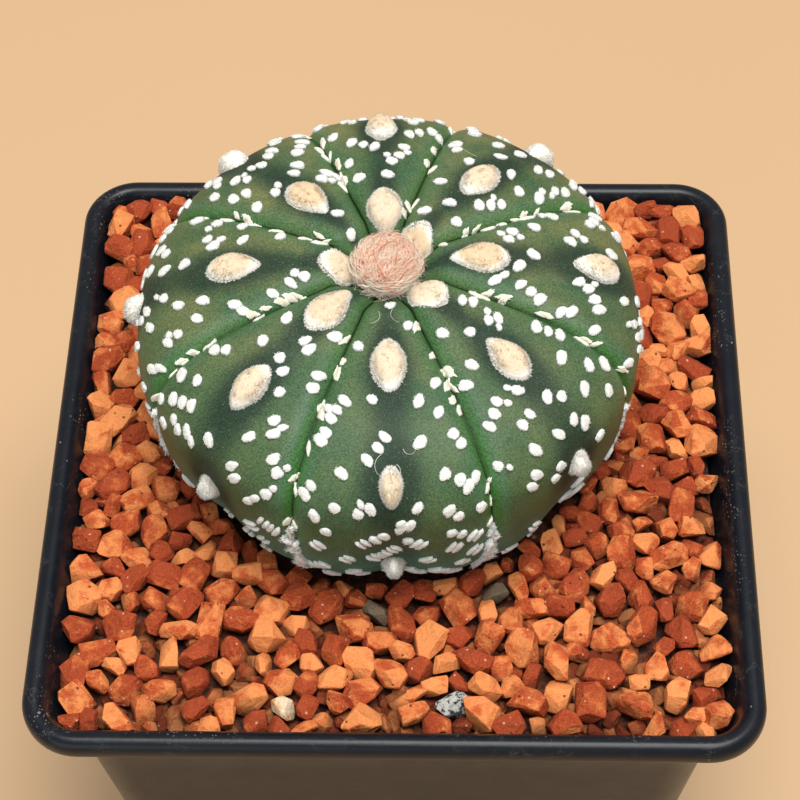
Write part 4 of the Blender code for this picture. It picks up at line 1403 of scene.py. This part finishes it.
@dataclass
class Flecks:
    """White flecks in short slanting chains on each rib."""

    stem: Stem
    seed: int = 5
    tries: int = 420
    lengths: tuple[float, ...] = (0.34, 0.30, 0.20, 0.10, 0.06)
    step: float = 1.65 * MM
    wobble: float = 0.15 * MM
    slant: Span = (25.0, 65.0)
    spacing: float = 2.75 * MM
    half_length: Span = (0.8 * MM, 1.15 * MM)
    half_width: Span = (0.62 * MM, 0.82 * MM)
    height: float = 0.42 * MM
    furrow_margin: float = 1.5 * MM
    crown_margin: float = 7.0 * MM
    areole_margin: float = 1.3 * MM
    ground_margin: float = 2.5 * MM
    growth: float = 0.9
    twins: float = 0.2
    twin_apart: float = 1.3 * MM
    twin_size: Span = (0.6, 0.9)
    thin_from: float = 33.0 * MM
    thinned: float = 0.78
    front_width: float = 0.35
    slices_from: float = 40.0 * MM
    slice_step: float = 0.42 * MM
    slice_long: float = 1.22
    slice_wide: float = 0.56

    def sites(self) -> Array:
        """Seeded flecks: chains that start at random and slant out and down from the crest.

        Returns:
            Azimuth, arc, turn, half length and half width of each.
        """
        stem = self.stem
        draw = np.random.default_rng(self.seed)
        areoles = stem.areole_sites()
        rows = []
        for rib in range(stem.ribs):
            half = 0.5 * (stem.ends[rib + 1] - stem.ends[rib])
            own = areoles[np.isclose(areoles[:, 0], stem.crest[rib])]
            taken = np.zeros((0, 2))
            for _ in range(self.tries):
                arc = draw.uniform(self.crown_margin, stem.ground_arc)
                across = draw.uniform(-1.0, 1.0) * half * stem.outline.radius
                count = draw.choice(len(self.lengths), p=self.lengths) + 1
                slant = math.radians(draw.uniform(*self.slant))
                lengths, widths = (draw.uniform(*span, count) for span in (self.half_length, self.half_width))
                wobble = draw.normal(0.0, self.wobble, (count, 2))
                side = 1.0 if across > 0.0 else -1.0
                heading = np.array([side * math.cos(slant), math.sin(slant)])
                placed: list[Array] = []
                for k in range(count):
                    spot = np.array([across, arc]) + heading * self.step * k + wobble[k]
                    if not self.free(spot, half, own, taken):
                        break
                    placed.append(spot)
                    azimuth = stem.crest[rib] + spot[0] / stem.radius_at(spot[1])
                    rows.append((azimuth, spot[1], -side * slant, lengths[k], widths[k]))
                if placed:
                    taken = np.vstack([taken, placed])
        return np.array(rows)

    def free(self, spot: Array, half: float, own: Array, taken: Array) -> bool:
        """Whether a fleck has room.

        Args:
            spot: Distance across from the crest, and arc.
            half: Half the rib's angle.
            own: The rib's areoles.
            taken: Spots of the rib's earlier chains.

        Returns:
            True where it is clear of the furrows, crown, gravel, pads and other chains.
        """
        stem = self.stem
        if abs(spot[0]) > half * stem.radius_at(spot[1]) - self.furrow_margin:
            return False
        if not self.crown_margin <= spot[1] <= stem.ground_arc - self.ground_margin:
            return False
        pad = (spot[0] / (own[:, 3] + self.areole_margin)) ** 2
        pad = pad + ((spot[1] - own[:, 1]) / (own[:, 2] + self.areole_margin)) ** 2
        if pad.min() < 1.0:
            return False
        return not (len(taken) and np.hypot(*(taken - spot).T).min() < self.spacing)

    def moved(self, tufts: Array, across: Array, down: Array) -> Array:
        """Copies of flecks, moved clockwise by the cosine of their turn and down by its sine.

        Args:
            tufts: The flecks.
            across: Distance that the cosine is multiplied by.
            down: Distance that the sine is multiplied by.

        Returns:
            The copies.
        """
        made = tufts.copy()
        made[:, 0] -= across * np.cos(tufts[:, 2]) / self.stem.radius_at(tufts[:, 1])
        made[:, 1] += down * np.sin(tufts[:, 2])
        return made

    def sliced(self, tufts: Array) -> Array:
        """Low down the flecks are fewer, save in front, and each is split in two long slices.

        Higher up some flecks have a smaller twin beside them.

        Args:
            tufts: Azimuth, arc, turn, half length and half width of each fleck.

        Returns:
            The same for the flecks and slices.
        """
        draw = np.random.default_rng(self.seed + 2)
        behind = 1.0 - np.exp(-(((tufts[:, 0] - self.stem.crest[-1]) / self.front_width) ** 2))
        fewer = smoothstep(self.thin_from, self.slices_from, tufts[:, 1]) * behind * self.thinned
        tufts = tufts[draw.uniform(0.0, 1.0, len(tufts)) > fewer]
        low = tufts[:, 1] > self.slices_from
        twin = tufts[~low & (draw.uniform(0.0, 1.0, len(tufts)) < self.twins)]
        apart = self.twin_apart * draw.choice([-1.0, 1.0], len(twin))
        made = [tufts[~low], self.moved(twin, -apart, apart)]
        made[-1][:, 3:] *= draw.uniform(*self.twin_size, (len(twin), 1))
        for shift in (-self.slice_step, self.slice_step):
            made.append(self.moved(tufts[low], shift, shift))
            made[-1][:, 3:] *= (self.slice_long, self.slice_wide)
        return np.vstack(made)

    def build(self) -> Piece:
        """All flecks as felt plates.

        Returns:
            The piece.
        """
        tufts = self.sliced(self.sites())
        tufts[:, 3:] *= self.growth
        form = Felt(self.stem).form(tufts, self.height, np.random.default_rng(self.seed + 1))
        colours = (0.72, 0.72, 0.69), (0.66, 0.66, 0.62), (0.76, 0.77, 0.75)
        finish = WoolFinish("white felt", *colours, 0.35 * MM, 0.66, 0.14 * MM)
        return form.make("felt_flecks", finish.material())


@dataclass
class FurrowGrowth:
    """Papery flakes along the furrows, and thick white felt in their lower ends.

    Sizes and distances of single flakes and tufts are in mm.
    """

    stem: Stem
    flakes: int = 11
    flake_height: float = 0.3 * MM
    flake_arcs: Span = (7.5 * MM, 40.0 * MM)
    flake_aside: Span = (0.15, 0.65)
    flake_turn: Span = (0.1, 0.7)
    flake_long: Span = (0.6, 1.3)
    flake_wide: Span = (0.2, 0.52)
    felt_height: float = 0.8 * MM
    felt_start: Span = (38.0, 42.0)
    felt_step: float = 0.95 * MM
    felt_growth: float = 6.0 * MM
    felt_aside: float = 0.25
    felt_turn: float = 0.5
    felt_long: Span = (0.7, 1.1)
    felt_wide: float = 0.32
    felt_wider: float = 0.36
    felt_spread: Span = (0.8, 1.2)
    seed: int = 8

    def flake_sites(self, draw: Random) -> Array:
        """Narrow flakes just beside each furrow.

        Args:
            draw: Random numbers.

        Returns:
            Azimuth, arc, turn, half length and half width of each.
        """
        count = self.stem.ribs * self.flakes
        arc = draw.uniform(*self.flake_arcs, count)
        side = draw.choice([-1.0, 1.0], count)
        aside = side * draw.uniform(*self.flake_aside, count) * MM
        azimuth = np.repeat(self.stem.furrows, self.flakes) + aside / self.stem.radius_at(arc)
        turn = side * draw.uniform(*self.flake_turn, count)
        long, wide = (draw.uniform(*span, count) * MM for span in (self.flake_long, self.flake_wide))
        return np.stack([azimuth, arc, turn, long, wide], axis=1)

    def felt_sites(self, draw: Random) -> Array:
        """Tufts in a row down the lower end of each furrow.

        Args:
            draw: Random numbers.

        Returns:
            Azimuth, arc, turn, half length and half width of each.
        """
        rows = []
        for furrow in self.stem.furrows:
            start = draw.uniform(*self.felt_start) * MM
            arc = np.arange(start, self.stem.ground_arc, self.felt_step)
            grow = smoothstep(0.0, self.felt_growth, arc - start)
            aside = draw.normal(0.0, self.felt_aside, len(arc)) * MM
            turn = draw.normal(0.0, self.felt_turn, len(arc))
            long = draw.uniform(*self.felt_long, len(arc)) * MM
            wide = self.felt_wide + self.felt_wider * grow
            wide = wide * draw.uniform(*self.felt_spread, len(arc)) * MM
            azimuth = furrow + aside / self.stem.radius_at(arc)
            rows.append(np.stack([azimuth, arc, turn, long, wide], axis=1))
        return np.vstack(rows)

    def build(self) -> list[Piece]:
        """The flakes and the felt.

        Returns:
            The two pieces.
        """
        draw = np.random.default_rng(self.seed)
        scales = Felt(self.stem, hairs=5, ragged=0.12, power=(1.15, 1.9))
        flakes = scales.form(self.flake_sites(draw), self.flake_height, draw)
        hairy = {"hair_length": (0.2 * MM, 0.75 * MM), "hair_thick": (0.035 * MM, 0.06 * MM)}
        tufts = Felt(self.stem, hairs=48, ragged=0.14, **hairy)
        felt = tufts.form(self.felt_sites(draw), self.felt_height, draw)
        straw = (0.72, 0.69, 0.56), (0.62, 0.54, 0.38), (0.80, 0.79, 0.71)
        white = (0.80, 0.78, 0.74), (0.70, 0.67, 0.60), (0.85, 0.86, 0.85)
        return [
            flakes.make("furrow_flakes", WoolFinish("papery flakes", *straw, 0.5 * MM, 0.7).material()),
            felt.make("furrow_felt", WoolFinish("furrow felt", *white, 0.5 * MM, 0.78).material()),
        ]


@dataclass
class CrownBud:
    """Woolly bud in the crown: a soft core under a tangle of fine hairs.

    Lengths and thicknesses of the hairs are in mm, and their lifts are shares of the bud's size.
    """

    stem: Stem
    radius: float = 3.9 * MM
    height: float = 3.7 * MM
    base_radius: float = 3.1 * MM
    rings: int = 24
    around: int = 48
    strands_over: int = 3800
    strands_out: int = 900
    steps: int = 6
    main: tuple[float, float, float] = (0.42, 0.9, 0.0)
    scatter: float = 0.42
    span: Span = (0.35, 1.0)
    bend: float = 0.5
    lying_lift: float = 0.15
    stray: float = 0.2
    stray_lift: Span = (0.05, 0.24)
    thick: Span = (0.022, 0.048)
    rust: float = 0.09
    rust_thicker: float = 1.3
    fringe_front: float = 0.5
    fringe_length: Span = (0.6, 1.5)
    fringe_thick: Span = (0.02, 0.036)
    seed: int = 3

    def __post_init__(self) -> None:
        """Works out where the bud stands."""
        stem = self.stem
        self.centre = np.array([stem.x, stem.y + stem.lean, stem.arc_height[0] + GAP])
        waist = self.base_radius / self.radius
        self.floor = -math.sqrt(1.0 - waist * waist)

    def dome(self, direction: Array, lift: Array) -> Array:
        """Points over the bud: a ball cut off at its foot and stretched to its height.

        Args:
            direction: Unit vectors from the ball's middle.
            lift: Share by which each point stands off the core.

        Returns:
            Points, with 3 as the last axis.
        """
        tall = self.height / (1.0 - self.floor)
        up = np.maximum(direction[..., 2], self.floor) - self.floor
        local = np.concatenate([direction[..., :2] * self.radius, (up * tall)[..., None]], axis=-1)
        return self.centre + local * (1.0 + lift[..., None])

    def core(self) -> Form:
        """Soft core, a little lumpy.

        Returns:
            The core.
        """
        angle = TAU * np.arange(self.around) / self.around
        polar = np.linspace(0.0, math.acos(self.floor), self.rings + 1)[1:]
        turn, tilt = np.meshgrid(angle, polar)
        direction = [np.sin(tilt) * np.cos(turn), np.sin(tilt) * np.sin(turn), np.cos(tilt)]
        direction = np.vstack([[0.0, 0.0, 1.0], np.stack(direction, axis=-1).reshape(-1, 3)])
        lift = 0.04 * ripple(direction * self.radius, 1.6 * MM, self.seed) - 0.06
        points = self.dome(direction, np.where(direction[:, 2] > self.floor, lift, -0.06))
        tone = 0.42 + 0.12 * ripple(direction * self.radius, 1.2 * MM, 7)
        return Form(points, pad_faces(1, self.rings, self.around), {"tone": tone})

    def over(self, draw: Random) -> Form:
        """Hairs that lie over the core in one main direction, some with a loose end.

        Args:
            draw: Random numbers.

        Returns:
            The hairs.
        """
        count, even = self.strands_over, np.linspace(-0.5, 0.5, self.steps)
        direction = unit(draw.normal(size=(count, 3)) + [0.0, 0.0, 0.35])
        direction[:, 2] = np.maximum(direction[:, 2], -0.3)
        direction = unit(direction)
        main = np.array(self.main) + draw.normal(0.0, self.scatter, (count, 3))
        heading = unit(main - direction * (main * direction).sum(axis=1, keepdims=True))
        span = (draw.uniform(*self.span, count)[:, None] * even)[..., None]
        bend = (draw.normal(0.0, self.bend, count)[:, None] * even**2)[..., None]
        way = direction[:, None] * np.cos(span) + heading[:, None] * np.sin(span)
        way = way + np.cross(direction, heading)[:, None] * bend
        top = draw.uniform(0.0, self.lying_lift, count)[:, None]
        rise = top * np.sin(math.pi * np.linspace(0.08, 0.92, self.steps))[None]
        stray = (draw.uniform(0.0, 1.0, count) < self.stray) * draw.uniform(*self.stray_lift, count)
        lift = -0.03 + rise + stray[:, None] * np.linspace(0.0, 1.0, self.steps) ** 1.5
        thick = draw.uniform(*self.thick, count) * MM
        rust = draw.uniform(0.0, 1.0, count) < self.rust
        thick = np.where(rust, thick * self.rust_thicker, thick)
        slim = np.sqrt(np.clip(1.05 - np.linspace(-1.0, 1.0, self.steps) ** 2, 0.1, 1.0))
        form = strands(self.dome(unit(way), lift), thick[:, None] * slim)
        foot = 1.0 - smoothstep(0.0, 0.9, direction[:, 2] + 0.15)
        tone = np.where(rust, 1.0, np.clip(draw.normal(0.36, 0.2, count) - 0.34 * foot, 0.0, 0.72))
        form.values = {"tone": np.repeat(tone, self.steps * 3)}
        return form

    def fringe(self, draw: Random) -> Form:
        """Cream hairs that spread from the foot over the skin.

        Args:
            draw: Random numbers.

        Returns:
            The hairs.
        """
        count = self.strands_out
        angle = draw.uniform(0.0, TAU, count)
        front = draw.uniform(0.0, 1.0, count) < self.fringe_front
        angle = np.where(front, -0.5 * math.pi + draw.normal(0.0, 0.5, count), angle)
        start = self.base_radius * draw.uniform(0.9, 1.25, count)
        length = draw.uniform(*self.fringe_length, count) * MM
        along = np.linspace(0.0, 1.0, 4)
        reach = start[:, None] + length[:, None] * along
        turn = angle[:, None] + draw.normal(0.0, 0.3, count)[:, None] * along
        up = draw.uniform(0.1, 1.6, count)[:, None] * MM + draw.normal(0.15, 0.5, count)[:, None] * MM * along
        flat = np.stack([reach * np.cos(turn), reach * np.sin(turn), np.maximum(up, 0.05 * MM)], axis=-1)
        thick = draw.uniform(*self.fringe_thick, count) * MM
        form = strands(self.centre + flat, thick[:, None] * np.array([1.0, 0.9, 0.7, 0.3]))
        form.values = {"tone": np.repeat(np.clip(draw.normal(0.12, 0.12, count), 0.0, 0.5), 12)}
        return form

    def build(self) -> Piece:
        """The core, the hairs over it and a fringe at its foot.

        Returns:
            The piece.
        """
        draw = np.random.default_rng(self.seed)
        hairs = [self.over(draw), self.fringe(draw)]
        return Form.joined([self.core(), *hairs]).make("bud_wool", BudFinish().material())


@dataclass
class LooseFibres:
    """A few thin fibres caught on the plant.

    Each has its azimuth from the front crest, its arc and length in mm, the way it starts and how
    far that turns, and its lift in mm.
    """

    stem: Stem
    thick: float = 0.035 * MM
    steps: int = 16
    fibres: tuple[tuple[float, ...], ...] = (
        (-0.03, 27.0, 3.2, 0.4, 2.2, 0.3),
        (0.02, 28.2, 2.6, 2.6, -2.6, 0.35),
        (0.06, 26.4, 2.2, 1.5, 3.0, 0.25),
        (2.78, 25.5, 9.5, -1.35, 1.3, 5.0),
        (0.10, 8.0, 2.6, 0.9, 1.6, 0.5),
        (-0.16, 8.4, 2.4, 2.3, -1.8, 0.4),
    )

    def build(self) -> Piece:
        """The fibres: each heading turns evenly along its way.

        Returns:
            The piece.
        """
        front, start, length, turn, curl, lift = (np.array(self.fibres)[:, k, None] for k in range(6))
        share = np.linspace(0.0, 1.0, self.steps)[None]
        heading, step = turn + curl * share, length * MM / (self.steps - 1)
        along, down = (np.cumsum(side, axis=1) * step for side in (np.cos(heading), np.sin(heading)))
        rise = 0.06 * MM + lift * MM * share * (1.0 - 0.4 * share)
        paths = self.stem.draped(self.stem.crest[-1] + front, start * MM, along, down, rise)
        radii = np.full(paths.shape[:2], self.thick) * (1.0 - 0.6 * share)
        finish = PlainFinish("loose fibres", (0.78, 0.76, 0.70), 0.7)
        return strands(paths, radii).make("loose_fibres", finish.material())


# Gravel


@dataclass
class Gravel:
    """Top dressing: a bed of crumbs under stone chips, each cut from a block by flat facets."""

    pot: SquarePot
    stem: Stem
    bed_top: float = 76.4 * MM
    bed_bottom: float = 72.3 * MM
    bed_rise: float = 0.032
    room_above: float = 1.5 * MM
    back_room: float = 0.4 * MM
    count: int = 400
    seed: int = 11
    long: Span = (1.5 * MM, 2.65 * MM)
    wide: Span = (0.6, 0.9)
    high: Span = (0.5, 0.78)
    tilt: float = 0.6
    lift: float = 1.0 * MM
    block: float = 1.9
    facets: int = 6
    facet_depth: Span = (0.66, 1.0)
    corner_depth: Span = (0.95, 1.3)
    corner_scatter: float = 0.25
    outer_faces: float = 0.5
    outer_facets: float = 0.55
    crowding: float = 0.97
    settling_steps: int = 220
    settling_push: float = 0.35
    shows: float = 0.28
    wall_reach: float = 0.75
    stem_reach: float = 0.8
    corner_cut: float = 1.8 * MM
    fillers: int = 220
    filler_long: Span = (1.0 * MM, 1.8 * MM)
    filler_lift: Span = (-1.6, -0.2)
    filler_tilt: float = 0.9
    filler_tries: int = 160
    bevel: float = 0.3 * MM
    weld: float = 0.12 * MM
    sunk: float = 1.5 * MM
    clear: float = 0.05 * MM
    give: float = 0.3
    bed_rings: int = 26
    bed_lumps: float = 0.35 * MM
    bed_lump_size: float = 2.2 * MM
    odd_spots: tuple[tuple[float, float, OddStone], ...] = (
        (-13.5, -35.7, OddStone.QUARTZ),
        (8.5, -36.8, OddStone.SPECKLED),
        (-3.2, -24.0, OddStone.SLATE),
        (10.8, -20.8, OddStone.SLATE),
    )

    def __post_init__(self) -> None:
        """Works out the room inside the collar and where the stem stands in it."""
        self.room = self.pot.inner(self.bed_top + self.room_above)[0]
        self.stem_middle = np.array([self.stem.x, self.stem.y])

    def layout(self) -> tuple[Array, Array, Array, Array]:
        """Seeded stones, after pushing overlapping neighbours apart.

        Returns:
            Centres, half sizes, turns and tilts.
        """
        draw = np.random.default_rng(self.seed)
        long = draw.uniform(*self.long, self.count)
        wide, high = (long * draw.uniform(*span, self.count) for span in (self.wide, self.high))
        sizes = np.stack([long, wide, high], axis=1)
        turn = draw.uniform(0.0, TAU, self.count)
        tilt = draw.uniform(-self.tilt, self.tilt, (self.count, 2))
        lift = draw.uniform(0.0, self.lift, self.count)
        spot = draw.uniform(-self.room, self.room, (self.count, 2))
        reach = 0.5 * self.crowding * (sizes[:, 0] + sizes[:, 1])
        need = (self.stem.ground_radius + GAP + self.stem_reach * reach)[:, None]
        middle = np.array([0.0, 0.5 * self.back_room])
        edge = (self.room - self.wall_reach * sizes[:, 0])[:, None] + middle
        for _ in range(self.settling_steps):
            apart = spot[:, None] - spot[None]
            distance = np.hypot(apart[..., 0], apart[..., 1]) + np.eye(self.count)
            overlap = np.clip(reach[:, None] + reach[None] - distance, 0.0, None)
            np.fill_diagonal(overlap, 0.0)
            push = apart / distance[..., None] * overlap[..., None]
            spot = spot + self.settling_push * push.sum(axis=1)
            from_stem = spot - self.stem_middle
            away = np.hypot(from_stem[:, 0], from_stem[:, 1])[:, None]
            spot = np.where(away < need, self.stem_middle + from_stem / away * need, spot)
            spot = middle + rounded(spot - middle, edge, self.corner_cut)
        height = self.bed_top + self.bed_rise * spot[:, 1] + self.shows * sizes[:, 2] + lift
        return np.column_stack([spot, height]), sizes, turn, tilt

    def fill(self, spots: Array, sizes: Array, draw: Random) -> tuple[Array, Array]:
        """Smaller stones in the gaps between the others, each in the roomiest of a few spots.

        Args:
            spots: Centres of the larger stones.
            sizes: Their half sizes.
            draw: Random numbers.

        Returns:
            Centres and half sizes of the smaller stones.
        """
        taken, reach = spots[:, :2], 0.5 * (sizes[:, 0] + sizes[:, 1])
        centres, halves = [], []
        for _ in range(self.fillers):
            long = draw.uniform(*self.filler_long)
            halves.append([long, long * draw.uniform(*self.wide), long * draw.uniform(*self.high)])
            edge = self.room - long
            tries = draw.uniform(-edge, edge, (self.filler_tries, 2))
            away = np.hypot(*(tries - self.stem_middle).T)
            gap = (np.hypot(*(tries[:, None] - taken[None]).transpose(2, 0, 1)) - reach[None]).min(axis=1)
            gap[away < self.stem.ground_radius + 2.0 * GAP + long] = -1.0
            best = tries[gap.argmax()]
            taken = np.vstack([taken, best])
            reach = np.r_[reach, 0.8 * long]
            lift = draw.uniform(*self.filler_lift) * MM
            centres.append([*best, self.bed_top + self.bed_rise * best[1] + lift])
        return np.array(centres), np.array(halves)

    def chip(
        self, matrix: Matrix, draw: Random, tone_draw: Random
    ) -> tuple[Array, list[list[int]], list[float], list[bool]]:
        """A block cut by its facets, then with its edges broken.

        Args:
            matrix: Place, turn and half sizes of the stone.
            draw: Random numbers of its facets.
            tone_draw: Random numbers of the rest.

        Returns:
            Points, faces, each face's tone, and whether it is shaded smooth.
        """
        bm = bmesh.new()
        layer = bm.faces.layers.float.new("tone")
        bmesh.ops.create_cube(bm, size=self.block)
        for face in bm.faces:
            face[layer] = float(tone_draw.uniform() < self.outer_faces)
        normals = draw.normal(size=(self.facets, 3))
        normals = normals / np.linalg.norm(normals, axis=1, keepdims=True)
        depths = draw.uniform(*self.facet_depth, self.facets)
        corners = np.array([(x, y, z) for x in (-1, 1) for y in (-1, 1) for z in (-1, 1)], float)
        corners = unit(corners + tone_draw.normal(0.0, self.corner_scatter, corners.shape))
        normals = np.vstack([corners, normals])
        depths = np.r_[tone_draw.uniform(*self.corner_depth, len(corners)), depths]
        for normal, depth in zip(normals, depths):
            whole = [*bm.verts, *bm.edges, *bm.faces]
            place = {"plane_co": Vector(normal * depth), "plane_no": Vector(normal)}
            cut = bmesh.ops.bisect_plane(bm, geom=whole, dist=1e-5, clear_outer=True, **place)
            edges = [item for item in cut["geom_cut"] if isinstance(item, bmesh.types.BMEdge)]
            if len(edges) > 2:
                for face in bmesh.ops.contextual_create(bm, geom=edges)["faces"]:
                    face[layer] = float(tone_draw.uniform() < self.outer_facets)
        bmesh.ops.transform(bm, matrix=matrix, verts=bm.verts)
        bmesh.ops.remove_doubles(bm, verts=bm.verts, dist=self.weld)
        bmesh.ops.recalc_face_normals(bm, faces=bm.faces)
        style = {"offset_type": "OFFSET", "affect": "EDGES", "segments": 1, "clamp_overlap": True}
        broken = bmesh.ops.bevel(bm, geom=list(bm.edges), offset=self.bevel, **style)
        for face in broken["faces"]:
            face.smooth = True
        bm.verts.index_update()
        points = np.array([vertex.co[:] for vertex in bm.verts])
        faces = [[vertex.index for vertex in face.verts] for face in bm.faces]
        tones, smooth = [face[layer] for face in bm.faces], [face.smooth for face in bm.faces]
        bm.free()
        return points, faces, tones, smooth

    def chips(self) -> Piece:
        """Every stone, larger and smaller.

        Returns:
            The piece.
        """
        centres, sizes, turns, tilts = self.layout()
        draw = np.random.default_rng(self.seed + 1)
        low_centres, low_sizes = self.fill(centres, sizes, draw)
        turns = np.r_[turns, draw.uniform(0.0, TAU, self.fillers)]
        low_tilts = draw.uniform(-self.filler_tilt, self.filler_tilt, (self.fillers, 2))
        centres, sizes, tilts = (
            np.vstack(rows) for rows in ((centres, low_centres), (sizes, low_sizes), (tilts, low_tilts))
        )
        odd = np.zeros(len(centres))
        for x, y, kind in self.odd_spots:
            apart = np.hypot(centres[: self.count, 0] - x * MM, centres[: self.count, 1] - y * MM)
            odd[apart.argmin()] = kind.value
        points, faces, rounded = [], [], []
        values: dict[str, list[float]] = {"tone": [], "own": [], "odd": []}
        total = 0
        for i, centre in enumerate(centres):
            turn = Matrix.Rotation(turns[i], 4, "Z")
            lean = Matrix.Rotation(tilts[i, 0], 4, "X") @ Matrix.Rotation(tilts[i, 1], 4, "Y")
            matrix = Matrix.Translation(centre) @ turn @ lean @ Matrix.Diagonal((*sizes[i], 1.0))
            draws = (np.random.default_rng(seeds) for seeds in ([self.seed, i], [self.seed, i, 1]))
            made, corners, tones, smooth = self.chip(matrix, *draws)
            over = self.pot.inside(made, self.clear) - made
            nudge = self.give * (over.min(axis=0) + over.max(axis=0))
            points.append(self.pot.inside(made + nudge, self.clear))
            faces += [[index + total for index in face] for face in corners]
            rounded += smooth
            values["tone"] += tones
            values["own"] += [draw.uniform()] * len(corners)
            values["odd"] += [odd[i]] * len(corners)
            total += len(made)
        mesh = bpy.data.meshes.new("gravel_chips")
        mesh.from_pydata(np.vstack(points), [], faces)
        for name, value in values.items():
            mesh.attributes.new(name, "FLOAT", "FACE").data.foreach_set("value", value)
        mesh.polygons.foreach_set("use_smooth", rounded)
        mesh.materials.append(StoneFinish().material())
        return link("gravel_chips", mesh)

    def bed(self) -> Piece:
        """Crumbly bed: a slab between the stem's circle and the wall's rounded square.

        Returns:
            The piece.
        """
        level = self.bed_top - self.sunk
        half, corner, _ = self.pot.inner(self.bed_top - self.bed_rise * self.pot.lip_half, GAP)
        rows = np.array([(half, corner, level), self.pot.inner(self.bed_bottom, GAP)])
        top, low = self.pot.ring(rows)
        centre = np.array([*self.stem_middle, 0.0])
        way = unit((top - centre) * [1.0, 1.0, 0.0])
        share = np.linspace(0.0, 1.0, self.bed_rings)[:, None, None]
        rim = centre + way * (self.stem.ground_radius - 1.0 * MM)
        flat = rim * (1.0 - share) + top * share
        flat[..., 2] = level + self.bed_rise * flat[..., 1]
        lumps = self.bed_lumps * ripple(flat, self.bed_lump_size, 4)
        flat[..., 2] += lumps * np.sin(math.pi * share[..., 0])
        under = low * share[::-1] + rim * (1.0 - share[::-1])
        under[..., 2] = self.bed_bottom
        points = np.concatenate([flat, under])
        faces = grid_faces(*points.shape[:2], wrap_rows=True)
        # Dark red-brown crumbs: partly their own colour, partly painted shade in the gaps between the stones.
        finish = MixFinish((0.030, 0.008, 0.004), (0.16, 0.045, 0.018), (0.45, 0.16, 0.07))
        return Form(points.reshape(-1, 3), [faces]).make("gravel_bed", finish.material())


# Studio


@dataclass
class Studio:
    """Pale floor, soft light and the camera; a lamp has a name, place, side, power and tint."""

    yaw: float = math.radians(2.563)
    elevation: float = math.radians(53.96)
    roll: float = math.radians(-1.746)
    distance: float = 301.75 * MM
    target: tuple[float, float, float] = (0.0, 6.32 * MM, 80.0 * MM)
    focal_pixels: float = 2292.6
    image_pixels: float = 800.0
    sensor: float = 36.0
    nearest: float = 10.0 * MM
    floor_half: float = 3.0
    floor_finish: PlainFinish = PlainFinish("pale floor", (0.55, 0.36, 0.20), 0.6)
    lamps: tuple[tuple[str, tuple[float, float, float], float, float, Colour], ...] = (
        ("window", (0.10, -0.08, 1.10), 0.6, 15.0, (1.0, 0.98, 0.945)),
        ("front fill", (-0.42, -0.95, 0.34), 0.7, 2.6, (0.80, 0.94, 1.0)),
    )
    lamp_aim: tuple[float, float, float] = (0.0, 0.0, 85.0 * MM)
    sky: Colour = (1.0, 0.97, 0.93)
    sky_strength: float = 0.42

    def camera(self) -> None:
        """Camera that looks down at the pot from the front."""
        flat = math.cos(self.elevation)
        back = Vector((math.sin(self.yaw) * flat, -math.cos(self.yaw) * flat, math.sin(self.elevation)))
        right = Vector((0.0, 0.0, 1.0)).cross(back).normalized()
        up = back.cross(right)
        c, s = math.cos(self.roll), math.sin(self.roll)
        right, up = c * right + s * up, c * up - s * right
        data = bpy.data.cameras.new("camera")
        data.sensor_width = self.sensor
        data.lens = self.sensor * self.focal_pixels / self.image_pixels
        data.clip_start = self.nearest
        made = link("camera", data)
        turn = Matrix((right, up, back)).transposed().to_4x4()
        made.matrix_world = Matrix.Translation(Vector(self.target) + self.distance * back) @ turn
        bpy.context.scene.camera = made

    def build(self) -> None:
        """The floor, the square soft lamps aimed at the plant, the sky and the camera."""
        corners = self.floor_half * np.array([(-1, -1, 0), (1, -1, 0), (1, 1, 0), (-1, 1, 0)])
        Form(corners, [np.arange(4)[None]]).make("floor", self.floor_finish.material())
        for name, spot, side, power, tint in self.lamps:
            data = bpy.data.lights.new(name, "AREA")
            data.shape, data.size, data.energy, data.color = "SQUARE", side, power, tint
            aim = (Vector(self.lamp_aim) - Vector(spot)).to_track_quat("-Z", "Y").to_matrix().to_4x4()
            link(name, data).matrix_world = Matrix.Translation(spot) @ aim
        world = bpy.data.worlds.new("soft sky")
        bpy.context.scene.world = world
        world.use_nodes = True
        sky = world.node_tree.nodes["Background"]
        sky.inputs["Color"].default_value = (*self.sky, 1.0)
        sky.inputs["Strength"].default_value = self.sky_strength
        bpy.context.scene.view_settings.view_transform = "Standard"
        self.camera()


def settle(pieces: Sequence[Piece], node: str) -> None:
    """Lets pieces ride on the body and stand for a node, whose own part is hidden.

    Args:
        pieces: The pieces.
        node: The node that they stand for.
    """
    for piece in pieces:
        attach(piece, BODY)
        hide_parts(node)
        REPORT.info("%s: %d faces, stands for %s", piece.name, len(piece.data.polygons), node)


def plain(box: Sequence[Sequence[float]]) -> list[list[float]]:
    """A box's corners as plain lists of numbers."""
    return [[float(number) for number in corner] for corner in box]


def main() -> None:
    """Builds the pot, its fill, the plant and the studio."""
    logging.basicConfig(level=logging.INFO, format="%(name)s: %(message)s")
    pot, stem = SquarePot(), Stem()
    gravel = Gravel(pot, stem)
    settle([pot.build()], "pot")
    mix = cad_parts["potting_mix"]
    mix.data.materials.clear()
    mix.data.materials.append(MixFinish().material())
    settle([gravel.bed(), gravel.chips()], "gravel")
    settle([stem.build()], "cactus")
    settle([Flecks(stem).build(), *AreoleWool(stem).build()], "cactus")
    settle([*FurrowGrowth(stem).build(), LooseFibres(stem).build()], "cactus")
    settle([CrownBud(stem).build()], "crown_bud")
    Studio().build()
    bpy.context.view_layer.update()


if __name__ == "__main__":
    main()
